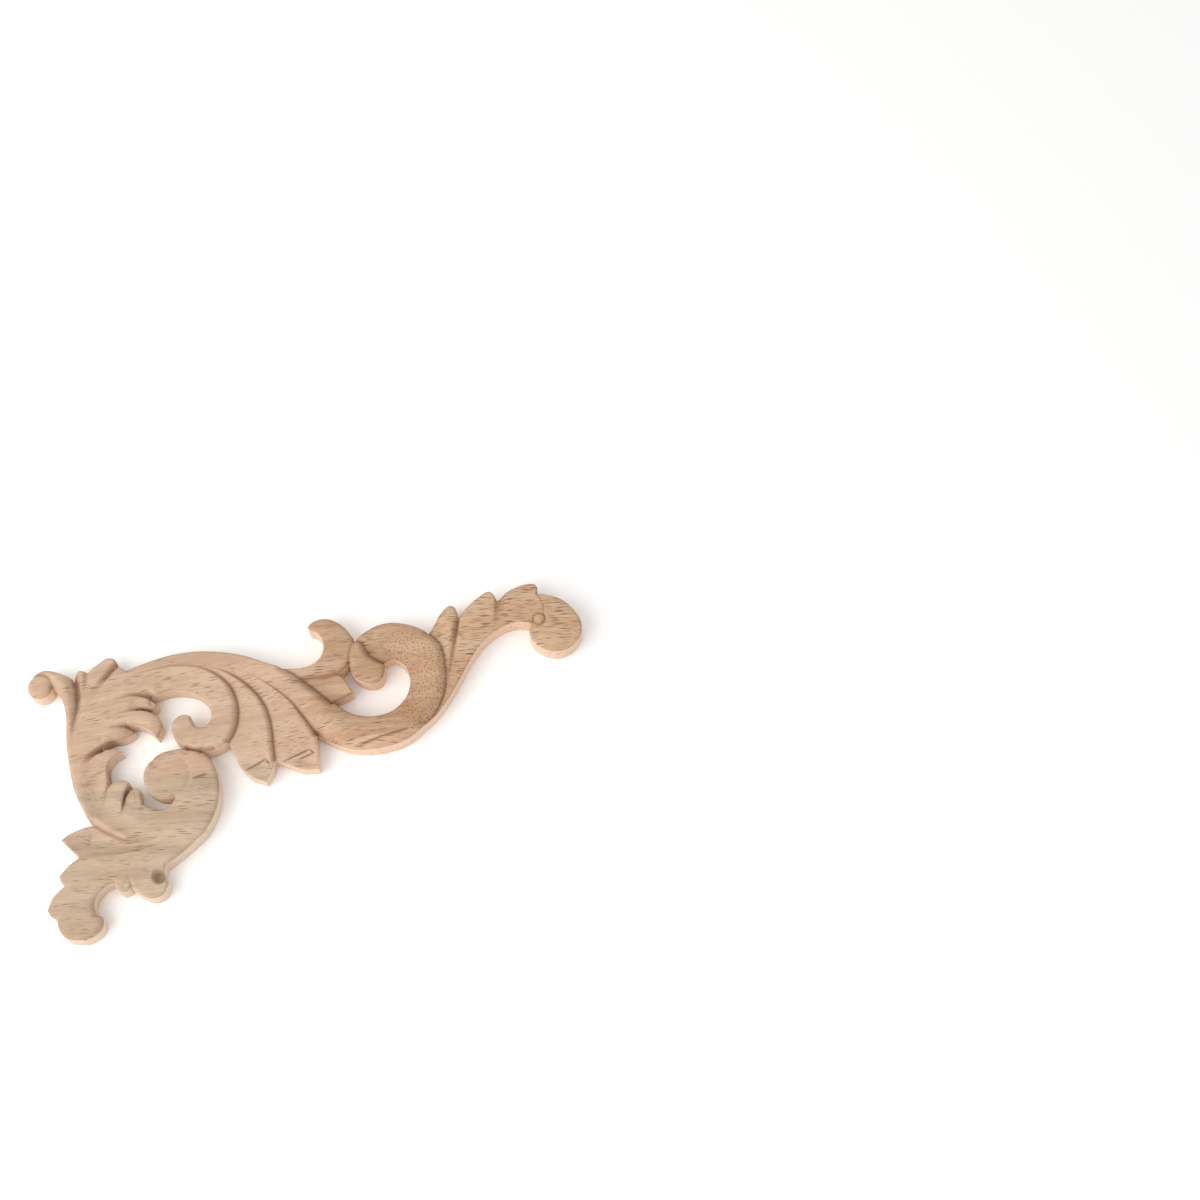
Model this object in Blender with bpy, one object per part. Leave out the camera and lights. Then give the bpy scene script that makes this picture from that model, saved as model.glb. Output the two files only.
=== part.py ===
"""Carved wood applique: a corner ornament of leaf scrolls, carved as one piece, lying on its flat back.

The long arm runs along +X, the short arm along -Y, and the carved face looks up, +Z. The back is the plane
z = 0 and the origin is on it. The carving is drawn as a set of forms, such as leaves, scrolls and eyes, that
lie over each other like shingles. Each form has two sides, drawn from its root to its tip, and a height at
its left side, middle and right side for a few stations along it.
"""

import math
from dataclasses import dataclass

import bpy
import numpy as np
from mathutils import Vector
from mathutils.geometry import delaunay_2d_cdt

MM = 0.001

# Driving dimensions, in millimetres
CROWN = 11.5
EDGE_ROLL = (0.8, 0.6)
SCROLL_ROLL = (3.3, 2.3)
SHINGLE_STEP = 1.3
FULL_STEP = 1.6
GROOVE = 0.3
STATION_BLEND = (-0.03, -0.01, 0.01, 0.03)
ROLL_TURN = (0.3, 0.7)

# Mesh spacing, in millimetres
DRAW_STEP = 0.8
BORDER_STEP = 1.7
INNER_STEP = 2.2
ROW_INSET = 1.0
CORNER_TURN = math.radians(34)
SMALLEST_REGION = 0.8
NEAR = 0.12
BATCH = 4000

# Drilled pit in the small curl: centre x, centre y, radius
PIT = (-40.1, -52.9, 2.2)
PIT_DEPTH = 4.0
PIT_MOUTH = 1.4

WOOD_COLOUR = (0.62, 0.43, 0.27, 1.0)
WOOD_ROUGHNESS = 0.62


@dataclass
class Form:
    """One carved form: its two sides as drawn lines, and the heights across it at stations along it.

    heights holds (station, left, middle, right), with the station from 0 at the root to 1 at the tip. A dome
    has one closed line instead, and heights holds (rim, crown, reach). step is how wide the cut is where the
    form stands over the one beside it. roll is the rounding of its free edges, as (width, depth), and
    outer_roll that of its right side, if it differs. fade is the distance from the root over which the form
    rises out of what it grows from. groove is how deep the line along its border is.
    """

    name: str
    left: np.ndarray
    right: np.ndarray | None
    heights: tuple
    step: float = SHINGLE_STEP
    roll: tuple = EDGE_ROLL
    outer_roll: tuple | None = None
    fade: float = 0.0
    groove: float = GROOVE

    def outline(self):
        """The closed outline, anticlockwise."""
        line = self.left if self.right is None else np.vstack([self.left, self.right[::-1]])
        turned = np.roll(line, -1, axis=0)
        signed = (line[:, 0] * turned[:, 1] - line[:, 1] * turned[:, 0]).sum()
        return line if signed > 0 else line[::-1]


@dataclass
class Gouge:
    """A hollow cut along a line, with its reach to the left and right and its depth at start and end."""

    line: np.ndarray
    reach: tuple
    depth: tuple

    def depth_at(self, points):
        """How deep the hollow is at each point."""
        distance, along, side = nearest(points, self.line)
        width = np.where(side > 0, self.reach[0], self.reach[1])
        deep = self.depth[0] + (self.depth[1] - self.depth[0]) * along
        return deep * rise(1 - distance / width)


def smooth(points):
    """A centripetal Catmull-Rom line through the points, with a point every DRAW_STEP or less."""
    points = np.asarray(points, float)
    if len(points) < 3:
        return spaced(points, DRAW_STEP)
    ends = np.vstack([2 * points[0] - points[1], points, 2 * points[-1] - points[-2]])
    line = [points[0]]
    for p0, p1, p2, p3 in zip(ends[:-3], ends[1:-2], ends[2:-1], ends[3:]):
        t1 = math.sqrt(np.linalg.norm(p1 - p0)) + 1e-9
        t2 = t1 + math.sqrt(np.linalg.norm(p2 - p1)) + 1e-9
        t3 = t2 + math.sqrt(np.linalg.norm(p3 - p2)) + 1e-9
        count = max(2, math.ceil(np.linalg.norm(p2 - p1) / DRAW_STEP))
        for t in np.linspace(t1, t2, count + 1)[1:]:
            a1 = (t1 - t) / t1 * p0 + t / t1 * p1
            a2 = (t2 - t) / (t2 - t1) * p1 + (t - t1) / (t2 - t1) * p2
            a3 = (t3 - t) / (t3 - t2) * p2 + (t - t2) / (t3 - t2) * p3
            b1 = (t2 - t) / t2 * a1 + t / t2 * a2
            b2 = (t3 - t) / (t3 - t1) * a2 + (t - t1) / (t3 - t1) * a3
            line.append((t2 - t) / (t2 - t1) * b1 + (t - t1) / (t2 - t1) * b2)
    return np.array(line)


def spaced(line, step):
    """The line with points at even distances of about step, its ends kept."""
    along = np.concatenate([[0.0], np.cumsum(np.linalg.norm(np.diff(line, axis=0), axis=1))])
    count = max(1, round(along[-1] / step))
    where = np.linspace(0.0, along[-1], count + 1)
    return np.column_stack([np.interp(where, along, line[:, axis]) for axis in (0, 1)])


def path(*spans):
    """Smooth spans joined at corners. Each span starts where the one before it ends."""
    line = smooth(spans[0])
    for span in spans[1:]:
        line = np.vstack([line, smooth([tuple(line[-1]), *span])[1:]])
    return line


def ring(circle):
    """A closed circle, given as centre x, centre y and radius."""
    x, y, radius = circle
    count = math.ceil(math.tau * radius / DRAW_STEP)
    angles = np.arange(count) * math.tau / count
    return np.column_stack([x + radius * np.cos(angles), y + radius * np.sin(angles)])


def long_arm():
    """The stem that leaves the long scroll for the end ball, with its three leaves."""
    return [
        Form(
            "end_ball",
            path(
                [(101, 17), (105, 23), (108.5, 25), (112.5, 23.9), (116.5, 21.6), (120, 17.3),
                  (122, 12.3), (121.8, 8)]
                + [(119.6, 4.6), (116, 2.3), (111.8, 1.7), (107.5, 3.3), (104.2, 6.4), (102.9, 10.4),
                  (104.3, 14.3)]
            ),
            None,
            (8.9, 9.4, 6.5),
            roll=(1.0, 0.8),
        ),
        Form(
            "stem",
            path([(56, -14), (60, 0), (63, 10), (70, 15), (78.7, 22.1)],
                 [(83, 25.6), (87.5, 28.3), (91.3, 29.5), (92.6, 28.2), (93.7, 25.8)],
                 [(98.5, 28.2), (104.5, 29.6), (108.2, 29), (109, 27.3), (108.5, 25)]),
            path([(57, -17.5), (63, -14.2), (69, -8.8), (75, -1.5), (81, 6.2), (87, 11.7), (93, 14.8),
                  (99, 15.8)]
                 + [(104.3, 14.3)], [(107.6, 14.5), (109.7, 18), (109.6, 22), (108.5, 25)]),
            ((0, 6.8, 7.2, 7.6), (0.3, 7.2, 7.9, 8.2), (0.5, 8.3, 8.6, 8.6), (0.7, 9.1, 9.1, 9.1),
             (1, 9.2, 9.2, 9.2)),
            roll=(0.8, 0.6),
            step=0.9,
            groove=0.25,
        ),
        Form(
            "stem_leaf",
            path([(62, 6), (64, 14), (66.8, 18.2)],
                 [(69.2, 21), (72.3, 25), (76, 27.5), (77.8, 26.6), (78.7, 22.1)]),
            path([(70, -5), (72.2, 3), (74.6, 9.5), (76.8, 16), (78.7, 22.1)]),
            ((0, 6.8, 7.4, 8.0), (0.5, 6.6, 7.8, 9.0), (0.85, 7.6, 8.7, 9.4), (1, 8.0, 8.6, 9.0)),
            fade=9.0,
            step=2.2,
            groove=0.2,
        ),
        Form(
            "end_eye",
            ring((107.3, 15.2, 2.2)),
            None,
            (9.0, 9.9, 1.6),
            roll=(0.6, 0.5),
            step=0.7,
            groove=0.3,
        ),
    ]


def middle():
    """The long scroll with its eye, the hook and small leaf that grow from it, and the two fan leaves."""
    return [
        Form(
            "scroll_leaf",
            path([(14, 13), (22, 10), (30, 10), (33, 8.2), (35.4, 4), (36.4, 1)]),
            path([(14, 8), (21, 3), (27, -1.5), (29.5, -0.6), (33, 0), (36.4, 1)]),
            ((0, 7.4, 7.2, 6.6), (0.5, 7.4, 7.2, 6.2), (0.8, 7.6, 7.6, 7.0), (1, 7.8, 7.8, 7.6)),
            roll=(0.6, 0.5),
        ),
        Form(
            "hook",
            path([(6, 18), (13, 14.9), (20.5, 13.6), (24.4, 14.4), (27.4, 16.7), (28.8, 20.3),
                  (28.4, 24), (26.6, 26.7)]
                 + [(24.9, 27.6), (24.2, 28.8)]),
            path([(8, 12), (16, 10.4), (24, 9.2), (30, 9), (34.4, 10.4), (37.4, 13.4), (39.4, 17),
                  (40, 20.4)]
                 + [(38.6, 24), (35.8, 28.1), (32, 30.7), (28.5, 31.2), (25.4, 30.3), (24.2, 28.8)]),
            ((0, 7.8, 7.8, 7.8), (0.3, 8.6, 8.5, 8.4), (0.55, 9.2, 9.3, 8.6), (0.8, 9.2, 9.4, 8.8),
             (1, 8.9, 9.0, 8.9)),
            roll=(0.7, 0.5),
            outer_roll=(1.8, 1.2),
            step=1.2,
            groove=0.2,
        ),
        Form(
            "long_scroll",
            path([(-62, 22), (-52, 24.2), (-43, 25.3), (-34, 27), (-25, 28), (-16, 27.3), (-8, 25.3),
                  (0, 22.2), (7, 18.2)]
                 + [(13, 14.8), (18, 10.5), (24, 3.8), (30.3, -3.6), (36, -8.2), (43, -10.1), (49.5, -9.1)]
                 + [(54.8, -5), (57.3, 0.8), (56.6, 7.5), (52.8, 11.3), (48.8, 10.5), (45, 11)]),
            path([(-62, 8), (-45, 10), (-30, 15), (-15, 12), (0, 5), (12, -3), (21.2, -11.7),
                  (27, -16.3), (33, -19.8)]
                 + [(40, -21.4), (47, -21.5), (54, -19.8), (60, -16), (65.5, -11), (69.3, -4), (70.8, 4),
                   (70.2, 13)]
                 + [(66.8, 18.2), (61, 22.7), (52, 25.3), (45, 23.8), (40.2, 20.3), (40, 15), (42, 11)]),
            (
                (0, 8.4, 9.2, 9.0), (0.12, 8.6, 9.6, 9.4), (0.25, 8.8, 9.6, 8.6), (0.36, 9.6, 8.8, 6.6),
                (0.46, 9.8, 9.0, 7.4), (0.54, 9.6, 10.6, 10.0), (0.64, 9.8, CROWN, 10.2),
                 (0.76, 9.9, 11.2, 9.8),
                (0.86, 8.8, 10.0, 9.4), (0.93, 6.8, 8.2, 8.8), (1, 5.8, 6.8, 8.4),
            ),
            roll=(0.8, 0.6),
            outer_roll=SCROLL_ROLL,
            step=1.7,
            groove=0.25,
        ),
        Form(
            "scroll_eye",
            path([(40, 20.3), (42.4, 19.5), (43.3, 17), (44.6, 14), (46.6, 12), (49, 10.4)],
                 [(49.2, 7.8), (47.6, 4.2), (45, 2.9), (41.6, 3.6), (38.4, 6.2), (36.9, 9.8),
                   (36.9, 13.6), (38.3, 17.6),
                  (40, 20.3)])[:-1],
            None,
            (8.9, 9.5, 3.4),
            roll=(1.2, 0.9),
            step=1.3,
            groove=0.3,
        ),
        Form(
            "fan_leaf_right",
            path([(-11, 18.5), (-5, 14), (-1, 6), (1, -4), (2, -13), (5.3, -18.5)],
                 [(9, -20.5), (14, -23.5), (20, -24.5)]),
            path([(-11, 21.5), (-4.5, 18.4), (3, 13.6), (9.5, 7.5), (14.2, 1.8), (17.6, -4.6),
                  (21.2, -11.8)],
                 [(20.9, -16), (20, -24.5)]),
            ((0, 8.9, 9.2, 9.3), (0.25, 7.8, 8.0, 9.2), (0.6, 7.4, 7.7, 9.4), (0.86, 7.4, 8.0, 9.2),
             (1, 6.4, 6.6, 7.2)),
            fade=6.0,
            roll=(0.7, 0.5),
            step=1.35,
            groove=0.25,
        ),
        Form(
            "fan_leaf_left",
            path([(-19, 19), (-13, 14), (-9, 2), (-10, -6), (-9.9, -9.3)],
                 [(-8, -16), (-4.2, -22.3), (1, -25.6)]),
            path([(-15.5, 21.5), (-8, 18.2), (-1.8, 13), (2.5, 7.3), (5.1, 1), (5.9, -6), (5.6, -13),
                  (5.3, -18.5)],
                 [(4, -21.7), (1, -25.6)]),
            ((0, 9.0, 9.3, 9.4), (0.25, 8.0, 8.3, 9.5), (0.6, 7.4, 7.9, 9.6), (0.86, 7.4, 8.0, 9.4),
             (1, 6.4, 6.6, 7.2)),
            fade=6.0,
            roll=(0.7, 0.5),
            step=1.35,
            groove=0.25,
        ),
    ]


def short_arm():
    """The trunk that winds into the big spiral, the foot with its small curls and the lower leaf over it."""
    return [
        Form(
            "trunk",
            path([(-44, 22), (-46, 12), (-52, 4), (-54.5, -2), (-54.3, -8), (-53.9, -14), (-52.3, -19.5),
                  (-48.5, -23.6)]
                 + [(-43.4, -25.4), (-40, -27.7), (-36.3, -29.2), (-32.8, -28), (-31, -26)],
                 [(-31.5, -22), (-33.5, -18)]),
            path([(-63, 22), (-65.2, 12), (-66.3, 3), (-66.4, -7), (-65.6, -16), (-63.4, -23.6),
                  (-60.9, -29.7)]
                 + [(-55.8, -34.2), (-49, -38.4), (-41, -42.6), (-33.5, -44.8), (-27.5, -43.4),
                   (-22, -39.4)]
                 + [(-17.8, -33.5), (-15.4, -26), (-15.9, -17.3), (-18.8, -11.6), (-23, -8.8), (-29, -7.9)]
                 + [(-35, -8.8), (-39.5, -13), (-40.9, -18)]),
            (
                (0, 9.0, 9.0, 8.8), (0.12, 8.9, 9.2, 8.8), (0.28, 8.4, 9.1, 9.0), (0.4, 7.7, 7.6, 9.5),
                (0.5, 7.7, 7.7, 9.8), (0.6, 8.2, 9.2, 9.6), (0.74, 8.7, 10.1, 9.3), (0.88, 9.0, 9.6, 8.8),
                (1, 8.8, 9.0, 8.6),
            ),
            roll=(0.8, 0.6),
            outer_roll=(1.5, 1.0),
            step=3.4,
            groove=0.1,
        ),
        Form(
            "foot",
            path([(-22, -39.8), (-25, -42), (-30, -45.2), (-36, -48.4), (-44, -50.6), (-52, -51.5)]
                 + [(-58.5, -52.4), (-62.6, -55.6), (-63.6, -59), (-62.6, -62.3)],
                 [(-61.2, -63), (-61.1, -66), (-63.3, -68.6), (-68, -70.2)]),
            path([(-24, -35), (-32, -38.4), (-42, -38.6), (-52, -37.8), (-60, -39), (-66.5, -40.8)],
                 [(-70.4, -43), (-74, -46)], [(-73.7, -48), (-72.8, -50)],
                 [(-77, -53.1), (-79.4, -57.3)], [(-78.3, -59.7), (-76.4, -61.2)],
                 [(-76.2, -64.5), (-74, -68.3), (-68, -70.2)]),
            ((0, 9.2, 9.5, 9.5), (0.3, 9.0, 9.3, 9.4), (0.55, 8.8, 9.2, 8.9), (0.75, 8.2, 9.1, 8.6),
             (0.9, 8.2, 8.9, 8.6),
             (1, 8.6, 8.7, 8.5)),
            roll=(1.9, 1.2),
            outer_roll=(0.8, 0.6),
            fade=16.0,
            step=2.0,
            groove=0.0,
        ),
        Form(
            "foot_lobe",
            path([(-58, -47), (-56, -51.8), (-55.1, -54.2), (-53.2, -55.9), (-51.6, -55.6)]),
            path([(-48.4, -47), (-49.6, -51), (-50.3, -54.6), (-51.6, -55.6)]),
            ((0, 9.0, 9.0, 9.0), (0.6, 8.5, 8.7, 8.0), (1, 8.0, 8.1, 7.6)),
            fade=5.0,
            roll=(0.6, 0.5),
            groove=0.0,
            step=1.8,
        ),
        Form(
            "foot_curl",
            path([(-50.2, -46.5), (-50.3, -51), (-49.9, -55.1)], [(-47.6, -57.5), (-43.8, -60),
                  (-39.6, -59.4), (-37.2, -56)]),
            path([(-34.5, -45.8), (-37.4, -49), (-38.4, -52.6), (-37.2, -56)]),
            ((0, 9.0, 9.0, 8.8), (0.45, 8.4, 8.0, 8.4), (0.7, 8.6, 8.2, 8.4), (1, 8.6, 8.5, 8.4)),
            fade=5.0,
            roll=(1.0, 0.8),
            groove=0.0,
            step=1.8,
        ),
        Form(
            "lower_leaf",
            path([(-29, -37), (-33, -39.6), (-38, -41.6), (-46, -42.6), (-53, -42.7), (-60, -42)]
                 + [(-66.4, -40.9)], [(-69.6, -36.6), (-72.2, -32.9)]),
            path([(-33, -36.4), (-38, -38.4), (-43, -39.2), (-49, -38.4), (-55.8, -34.2), (-61, -30)]
                 + [(-65, -30.2), (-69, -31.2), (-72.2, -32.9)]),
            ((0, 9.5, 9.4, 9.4), (0.35, 9.4, 8.0, 8.4), (0.68, 9.2, 6.8, 7.4), (0.88, 8.8, 7.4, 7.4),
             (1, 8.2, 7.9, 7.8)),
            fade=10.0,
            roll=(0.7, 0.6),
            step=2.4,
            groove=0.0,
        ),
        Form(
            "spiral_eye",
            ring((-33.1, -17.2, 8.0)),
            None,
            (9.1, 9.5, 6.0),
            roll=(0.8, 0.6),
            step=2.2,
            groove=0.0,
        ),
    ]


def acanthus():
    """The leaf lobes that reach from the trunk into the big opening."""
    return [
        Form(
            "lobe_side",
            path([(-62.5, -9), (-60, -6.2), (-57, -4.3), (-53, -3.2), (-49.6, -3.7), (-47.5, -4.7)]),
            path([(-59, -23), (-55.7, -19.5), (-53.7, -16.4), (-53.6, -12), (-53.3, -9.3), (-51.3, -6.4),
                  (-47.5, -4.7)]),
            ((0, 8.8, 8.7, 8.4), (0.4, 8.8, 8.5, 8.4), (0.75, 8.5, 8.0, 8.1), (1, 7.6, 7.2, 7.2)),
            fade=9.0,
            step=1.2,
            groove=0.0,
            roll=(0.6, 0.5),
        ),
        Form(
            "lobe_low_right",
            path([(-50.5, -29), (-49.6, -24.6), (-48.4, -21.3), (-46.2, -19), (-44, -18.9), (-43.1, -20)]),
            path([(-42.5, -30), (-42.8, -25.8), (-43.3, -22.3), (-43.1, -20)]),
            ((0, 7.8, 7.8, 7.8), (0.5, 6.4, 7.7, 7.9), (0.8, 6.1, 7.4, 7.7), (1, 6.4, 7.0, 7.3)),
            fade=6.0,
            step=0.9,
            groove=0.0,
            roll=(0.35, 0.35),
        ),
        Form(
            "lobe_low_left",
            path([(-57, -26), (-55.6, -21), (-53.9, -17.2), (-51, -15.6), (-48, -15.7), (-46.4, -16.8)]),
            path([(-50.4, -27), (-49.6, -23), (-48.2, -19.4), (-46.4, -16.8)]),
            ((0, 8.0, 8.0, 7.8), (0.5, 8.2, 8.3, 8.3), (0.8, 8.0, 8.3, 8.2), (1, 7.7, 7.9, 7.7)),
            fade=8.0,
            step=0.8,
            groove=0.1,
            roll=(0.35, 0.35),
        ),
        Form(
            "lobe_top_3",
            path([(-58, 7), (-52, 6.4), (-46, 5.4), (-42.4, 2.2)]),
            path([(-58, -3.4), (-54.8, -1.2), (-51, 0), (-47, 0), (-43.6, 1), (-42.4, 2.2)]),
            ((0, 9.1, 9.2, 9.0), (0.5, 8.8, 9.2, 8.4), (0.8, 7.8, 8.4, 7.4), (1, 6.4, 6.6, 6.4)),
            fade=8.0,
            groove=0.0,
            roll=(0.9, 0.7),
        ),
        Form(
            "lobe_top_1",
            path([(-54, 17), (-46, 17), (-38, 16.4), (-34.6, 13.4), (-33.1, 10.3)]),
            path([(-54, 8.4), (-46, 9), (-39, 10), (-35.4, 8.9), (-33.1, 10.3)]),
            ((0, 9.1, 9.1, 9.1), (0.5, 8.8, 9.0, 8.6), (0.8, 7.6, 8.4, 7.2), (1, 6.2, 6.4, 6.2)),
            fade=8.0,
            groove=0.0,
            roll=(0.7, 0.6),
        ),
        Form(
            "lobe_top_2",
            path([(-56, 8.4), (-49, 9.6), (-42, 10.2), (-37, 8.8), (-33.6, 6), (-32.3, 2.4),
                  (-34.8, -1.6)]),
            path([(-56, 5), (-50, 4.8), (-44.6, 4.6), (-40.4, 3.9), (-37.2, 1.6), (-34.8, -1.6)]),
            ((0, 9.1, 9.2, 9.1), (0.45, 8.9, 9.4, 8.5), (0.7, 8.0, 9.3, 8.2), (0.88, 6.8, 8.3, 7.8),
             (1, 5.8, 6.2, 6.0)),
            fade=8.0,
            roll=(0.7, 0.6),
            groove=0.0,
        ),
    ]


def corner():
    """The curl at the corner, the leaf cluster beside it and the inner curl over all that it grows from."""
    return [
        Form(
            "cluster_leaf",
            path([(-62.4, 12), (-61.6, 18), (-61.6, 24), (-60.9, 27.4), (-59.2, 28.6), (-56.3, 27.6)],
                 [(-52.6, 29.6), (-48.8, 31.5), (-46.8, 31.2)]),
            path([(-56, 11), (-52, 17), (-48.6, 22.6), (-45.8, 27), (-45.6, 29.8), (-46.8, 31.2)]),
            ((0, 9.0, 9.1, 9.0), (0.4, 8.2, 8.8, 8.5), (0.75, 8.4, 8.5, 7.7), (1, 8.2, 8.3, 8.0)),
            fade=9.0,
            groove=0.0,
            step=2.2,
            roll=(0.7, 0.6),
        ),
        Form(
            "cluster_lip",
            path([(-57, 14), (-53, 20), (-50, 24.2), (-46.8, 27.3), (-44.2, 27), (-42.2, 25.2)]),
            path([(-54, 12), (-49, 19), (-45.6, 22.6), (-42.2, 25.2)]),
            ((0, 9.0, 9.0, 9.0), (0.6, 8.2, 8.9, 9.2), (1, 7.6, 8.2, 8.6)),
            fade=9.0,
            groove=0.1,
            step=1.3,
            roll=(0.7, 0.6),
        ),
        Form(
            "inner_curl",
            path([(-54, 21), (-42, 22), (-31, 23.6), (-22, 22.9), (-15, 20.4), (-9.2, 15.8),
                  (-5.8, 10.4), (-4.8, 3)]
                 + [(-6.4, -3.9), (-9.9, -8.6), (-14.5, -10.5), (-19, -10.7), (-24, -8.6), (-27.8, -5.6),
                   (-29, -1)]
                 + [(-27.6, 2.9), (-24.3, 4.2), (-21.9, 3.2)]),
            path([(-54, 13.6), (-50, 14.6), (-43, 15.9), (-37, 15), (-33.4, 14), (-28.5, 14.5),
                  (-22.5, 13.5)]
                 + [(-17.5, 10.4), (-14.8, 5.6), (-14.7, 0.9), (-17.4, -1.8), (-20.6, -1.2),
                   (-21.9, 1.2), (-21.9, 3.2)]),
            (
                (0, 9.4, 9.4, 9.2), (0.2, 9.7, 9.6, 9.2), (0.4, 10.0, 9.5, 9.1), (0.6, 10.0, 9.6, 9.1),
                (0.8, 9.5, 9.5, 9.2), (1, 9.3, 9.3, 9.2),
            ),
            roll=(0.8, 0.6),
            fade=30.0,
            step=1.3,
            groove=0.25,
        ),
        Form(
            "corner_curl",
            path([(-66.3, -1), (-65.7, 8), (-65.5, 13), (-66, 17.5), (-67.9, 22.6), (-69.8, 24.8),
                  (-71.5, 25.4)]),
            path([(-64.6, -1), (-63.2, 8), (-61.6, 14), (-61, 20), (-62, 26.3)],
                 [(-65, 28.6), (-71.5, 31.1), (-76, 29), (-77.9, 25)]),
            (
                (0, 8.6, 8.8, 8.8), (0.3, 8.8, 9.5, 8.2), (0.5, 9.0, 9.7, 7.4), (0.68, 8.4, 9.8, 8.0),
                (0.85, 7.2, 9.2, 8.8), (1, 7.2, 8.2, 8.6),
            ),
            roll=(0.8, 0.6),
            fade=12.0,
            step=1.4,
            groove=0.0,
        ),
        Form(
            "corner_ball",
            ring((-73.6, 25.3, 4.4)),
            None,
            (8.4, 9.3, 3.2),
            roll=(1.2, 1.0),
            step=1.0,
            groove=0.1,
        ),
    ]


def gouges():
    """The hollow cuts that part the forms, each from its deep end to where it runs out."""
    return [
        Gouge(smooth([(-50.5, -1.8), (-54.5, -2.4), (-58, -4), (-60.6, -7)]), (1.5, 1.4), (4.6, 0.2)),
        Gouge(smooth([(94, 26.8), (93, 22), (91.6, 16.5)]), (4.0, 1.4), (2.1, 0.0)),
        Gouge(smooth([(78.4, 21), (76.6, 15.6), (74.4, 9), (72.4, 3.4)]), (1.2, 2.4), (1.5, 0.2)),
        Gouge(smooth([(-56.2, 28.2), (-57.2, 23.5), (-58.6, 18)]), (1.5, 1.5), (1.2, 0.0)),
        Gouge(smooth([(-61.2, 27), (-60.6, 20), (-61.4, 13), (-63, 6)]), (2.2, 1.5), (2.2, 0.0)),
        Gouge(smooth([(-45.6, 28.6), (-48.6, 25.4), (-52.5, 21.8), (-56, 18)]), (1.5, 1.7), (2.2, 0.0)),
        Gouge(smooth([(-33.2, 7.2), (-37, 9.1), (-41.5, 9.9), (-47, 9.5)]), (1.1, 1.0), (2.6, 0.0)),
        Gouge(smooth([(-40.8, 0.9), (-43.5, 3.6), (-47.5, 4.9), (-50.5, 5)]), (1.1, 1.0), (2.6, 0.0)),
        Gouge(smooth([(-32.8, 11.6), (-37, 14.4), (-42, 15.8), (-47.5, 15.3)]), (1.1, 1.3), (2.4, 0.0)),
        Gouge(smooth([(-15.4, -10.4), (-19, -10.4), (-23.8, -8.9), (-28.4, -6.6)]), (0.9, 1.1), (1.8, 1.2)),
    ]


def all_forms():
    """Every form, from the lowest to the one that lies over all others."""
    return long_arm() + middle() + short_arm() + acanthus() + corner()


def nearest(points, line, closed=False):
    """Each point's distance to the line, how far along that is, and a value above zero on its left."""
    if closed:
        line = np.vstack([line, line[:1]])
    start = line[:-1]
    run = line[1:] - start
    length = np.linalg.norm(run, axis=1)
    keep = length > 1e-9
    start, run, length = start[keep], run[keep], length[keep]
    before = np.concatenate([[0.0], np.cumsum(length)])
    distance, along, side = (np.empty(len(points)) for _ in range(3))
    for first in range(0, len(points), BATCH):
        some = points[first:first + BATCH]
        gap = some[:, None, :] - start[None]
        share = np.clip((gap * run[None]).sum(2) / (length ** 2)[None], 0.0, 1.0)
        square = ((gap - share[:, :, None] * run[None]) ** 2).sum(2)
        best = square.argmin(1)
        rows = np.arange(len(some))
        ahead, aside = run[best], gap[rows, best]
        batch = slice(first, first + BATCH)
        distance[batch] = np.sqrt(square[rows, best])
        along[batch] = (before[best] + share[rows, best] * length[best]) / before[-1]
        side[batch] = ahead[:, 0] * aside[:, 1] - ahead[:, 1] * aside[:, 0]
    return distance, along, side


def inside(points, outline):
    """Whether each point is inside the closed outline."""
    found = np.zeros(len(points), bool)
    lowest, highest = outline.min(0), outline.max(0)
    near = np.flatnonzero(((points >= lowest) & (points <= highest)).all(1))
    x1, y1 = outline[:, 0], outline[:, 1]
    x2, y2 = np.roll(x1, -1), np.roll(y1, -1)
    for first in range(0, len(near), BATCH):
        some = near[first:first + BATCH]
        x, y = points[some, 0][:, None], points[some, 1][:, None]
        crosses = (y1 > y) != (y2 > y)
        with np.errstate(divide="ignore", invalid="ignore"):
            right = x < (x2 - x1) * (y - y1) / (y2 - y1) + x1
        found[some] = (crosses & right).sum(1) % 2 == 1
    return found


def rise(share):
    """A smooth step from 0 to 1."""
    share = np.clip(share, 0.0, 1.0)
    return share * share * (3 - 2 * share)


def chamfer(share):
    """A slope from 0 to 1, straight at its foot and rounded over at its upper end."""
    share = np.clip(share, 0.0, 1.5)
    return np.where(share < 0.5, share, 1 - 0.5 * (1.5 - share) ** 2)


def form_height(form, points):
    """The form's own height at each point, and how far across the form the point is from its left."""
    if form.right is None:
        rim, crown, reach = form.heights
        depth, _, _ = nearest(points, form.left, closed=True)
        depth = np.where(inside(points, form.left), depth, 0.0)
        share = np.clip(depth / reach, 0.0, 1.0)
        return crown - (crown - rim) * (1 - share) ** 2, np.zeros(len(points))
    from_left, along_left, _ = nearest(points, form.left)
    from_right, along_right, _ = nearest(points, form.right)
    across = from_left / (from_left + from_right + 1e-9)
    along = (1 - across) * along_left + across * along_right
    table = np.array(form.heights, float)
    places = [np.clip(along + shift, 0.0, 1.0) for shift in STATION_BLEND]
    left, middle_, right = (
        np.mean([np.interp(place, table[:, 0], table[:, column]) for place in places], axis=0)
        for column in (1, 2, 3)
    )
    height = (
        left * (1 - across) * (1 - 2 * across)
        + middle_ * 4 * across * (1 - across)
        + right * across * (2 * across - 1)
    )
    return height, across


def triangulate(points, edges, faces):
    """A triangulation of the plan that keeps its edges: points, triangles, faces over each, and edges."""
    result = delaunay_2d_cdt([Vector(p) for p in points], edges, faces, 0, 1e-4, True)
    verts = np.array([tuple(v) for v in result[0]])
    return verts, np.array(result[2]), result[5], result[1], result[4]


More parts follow.
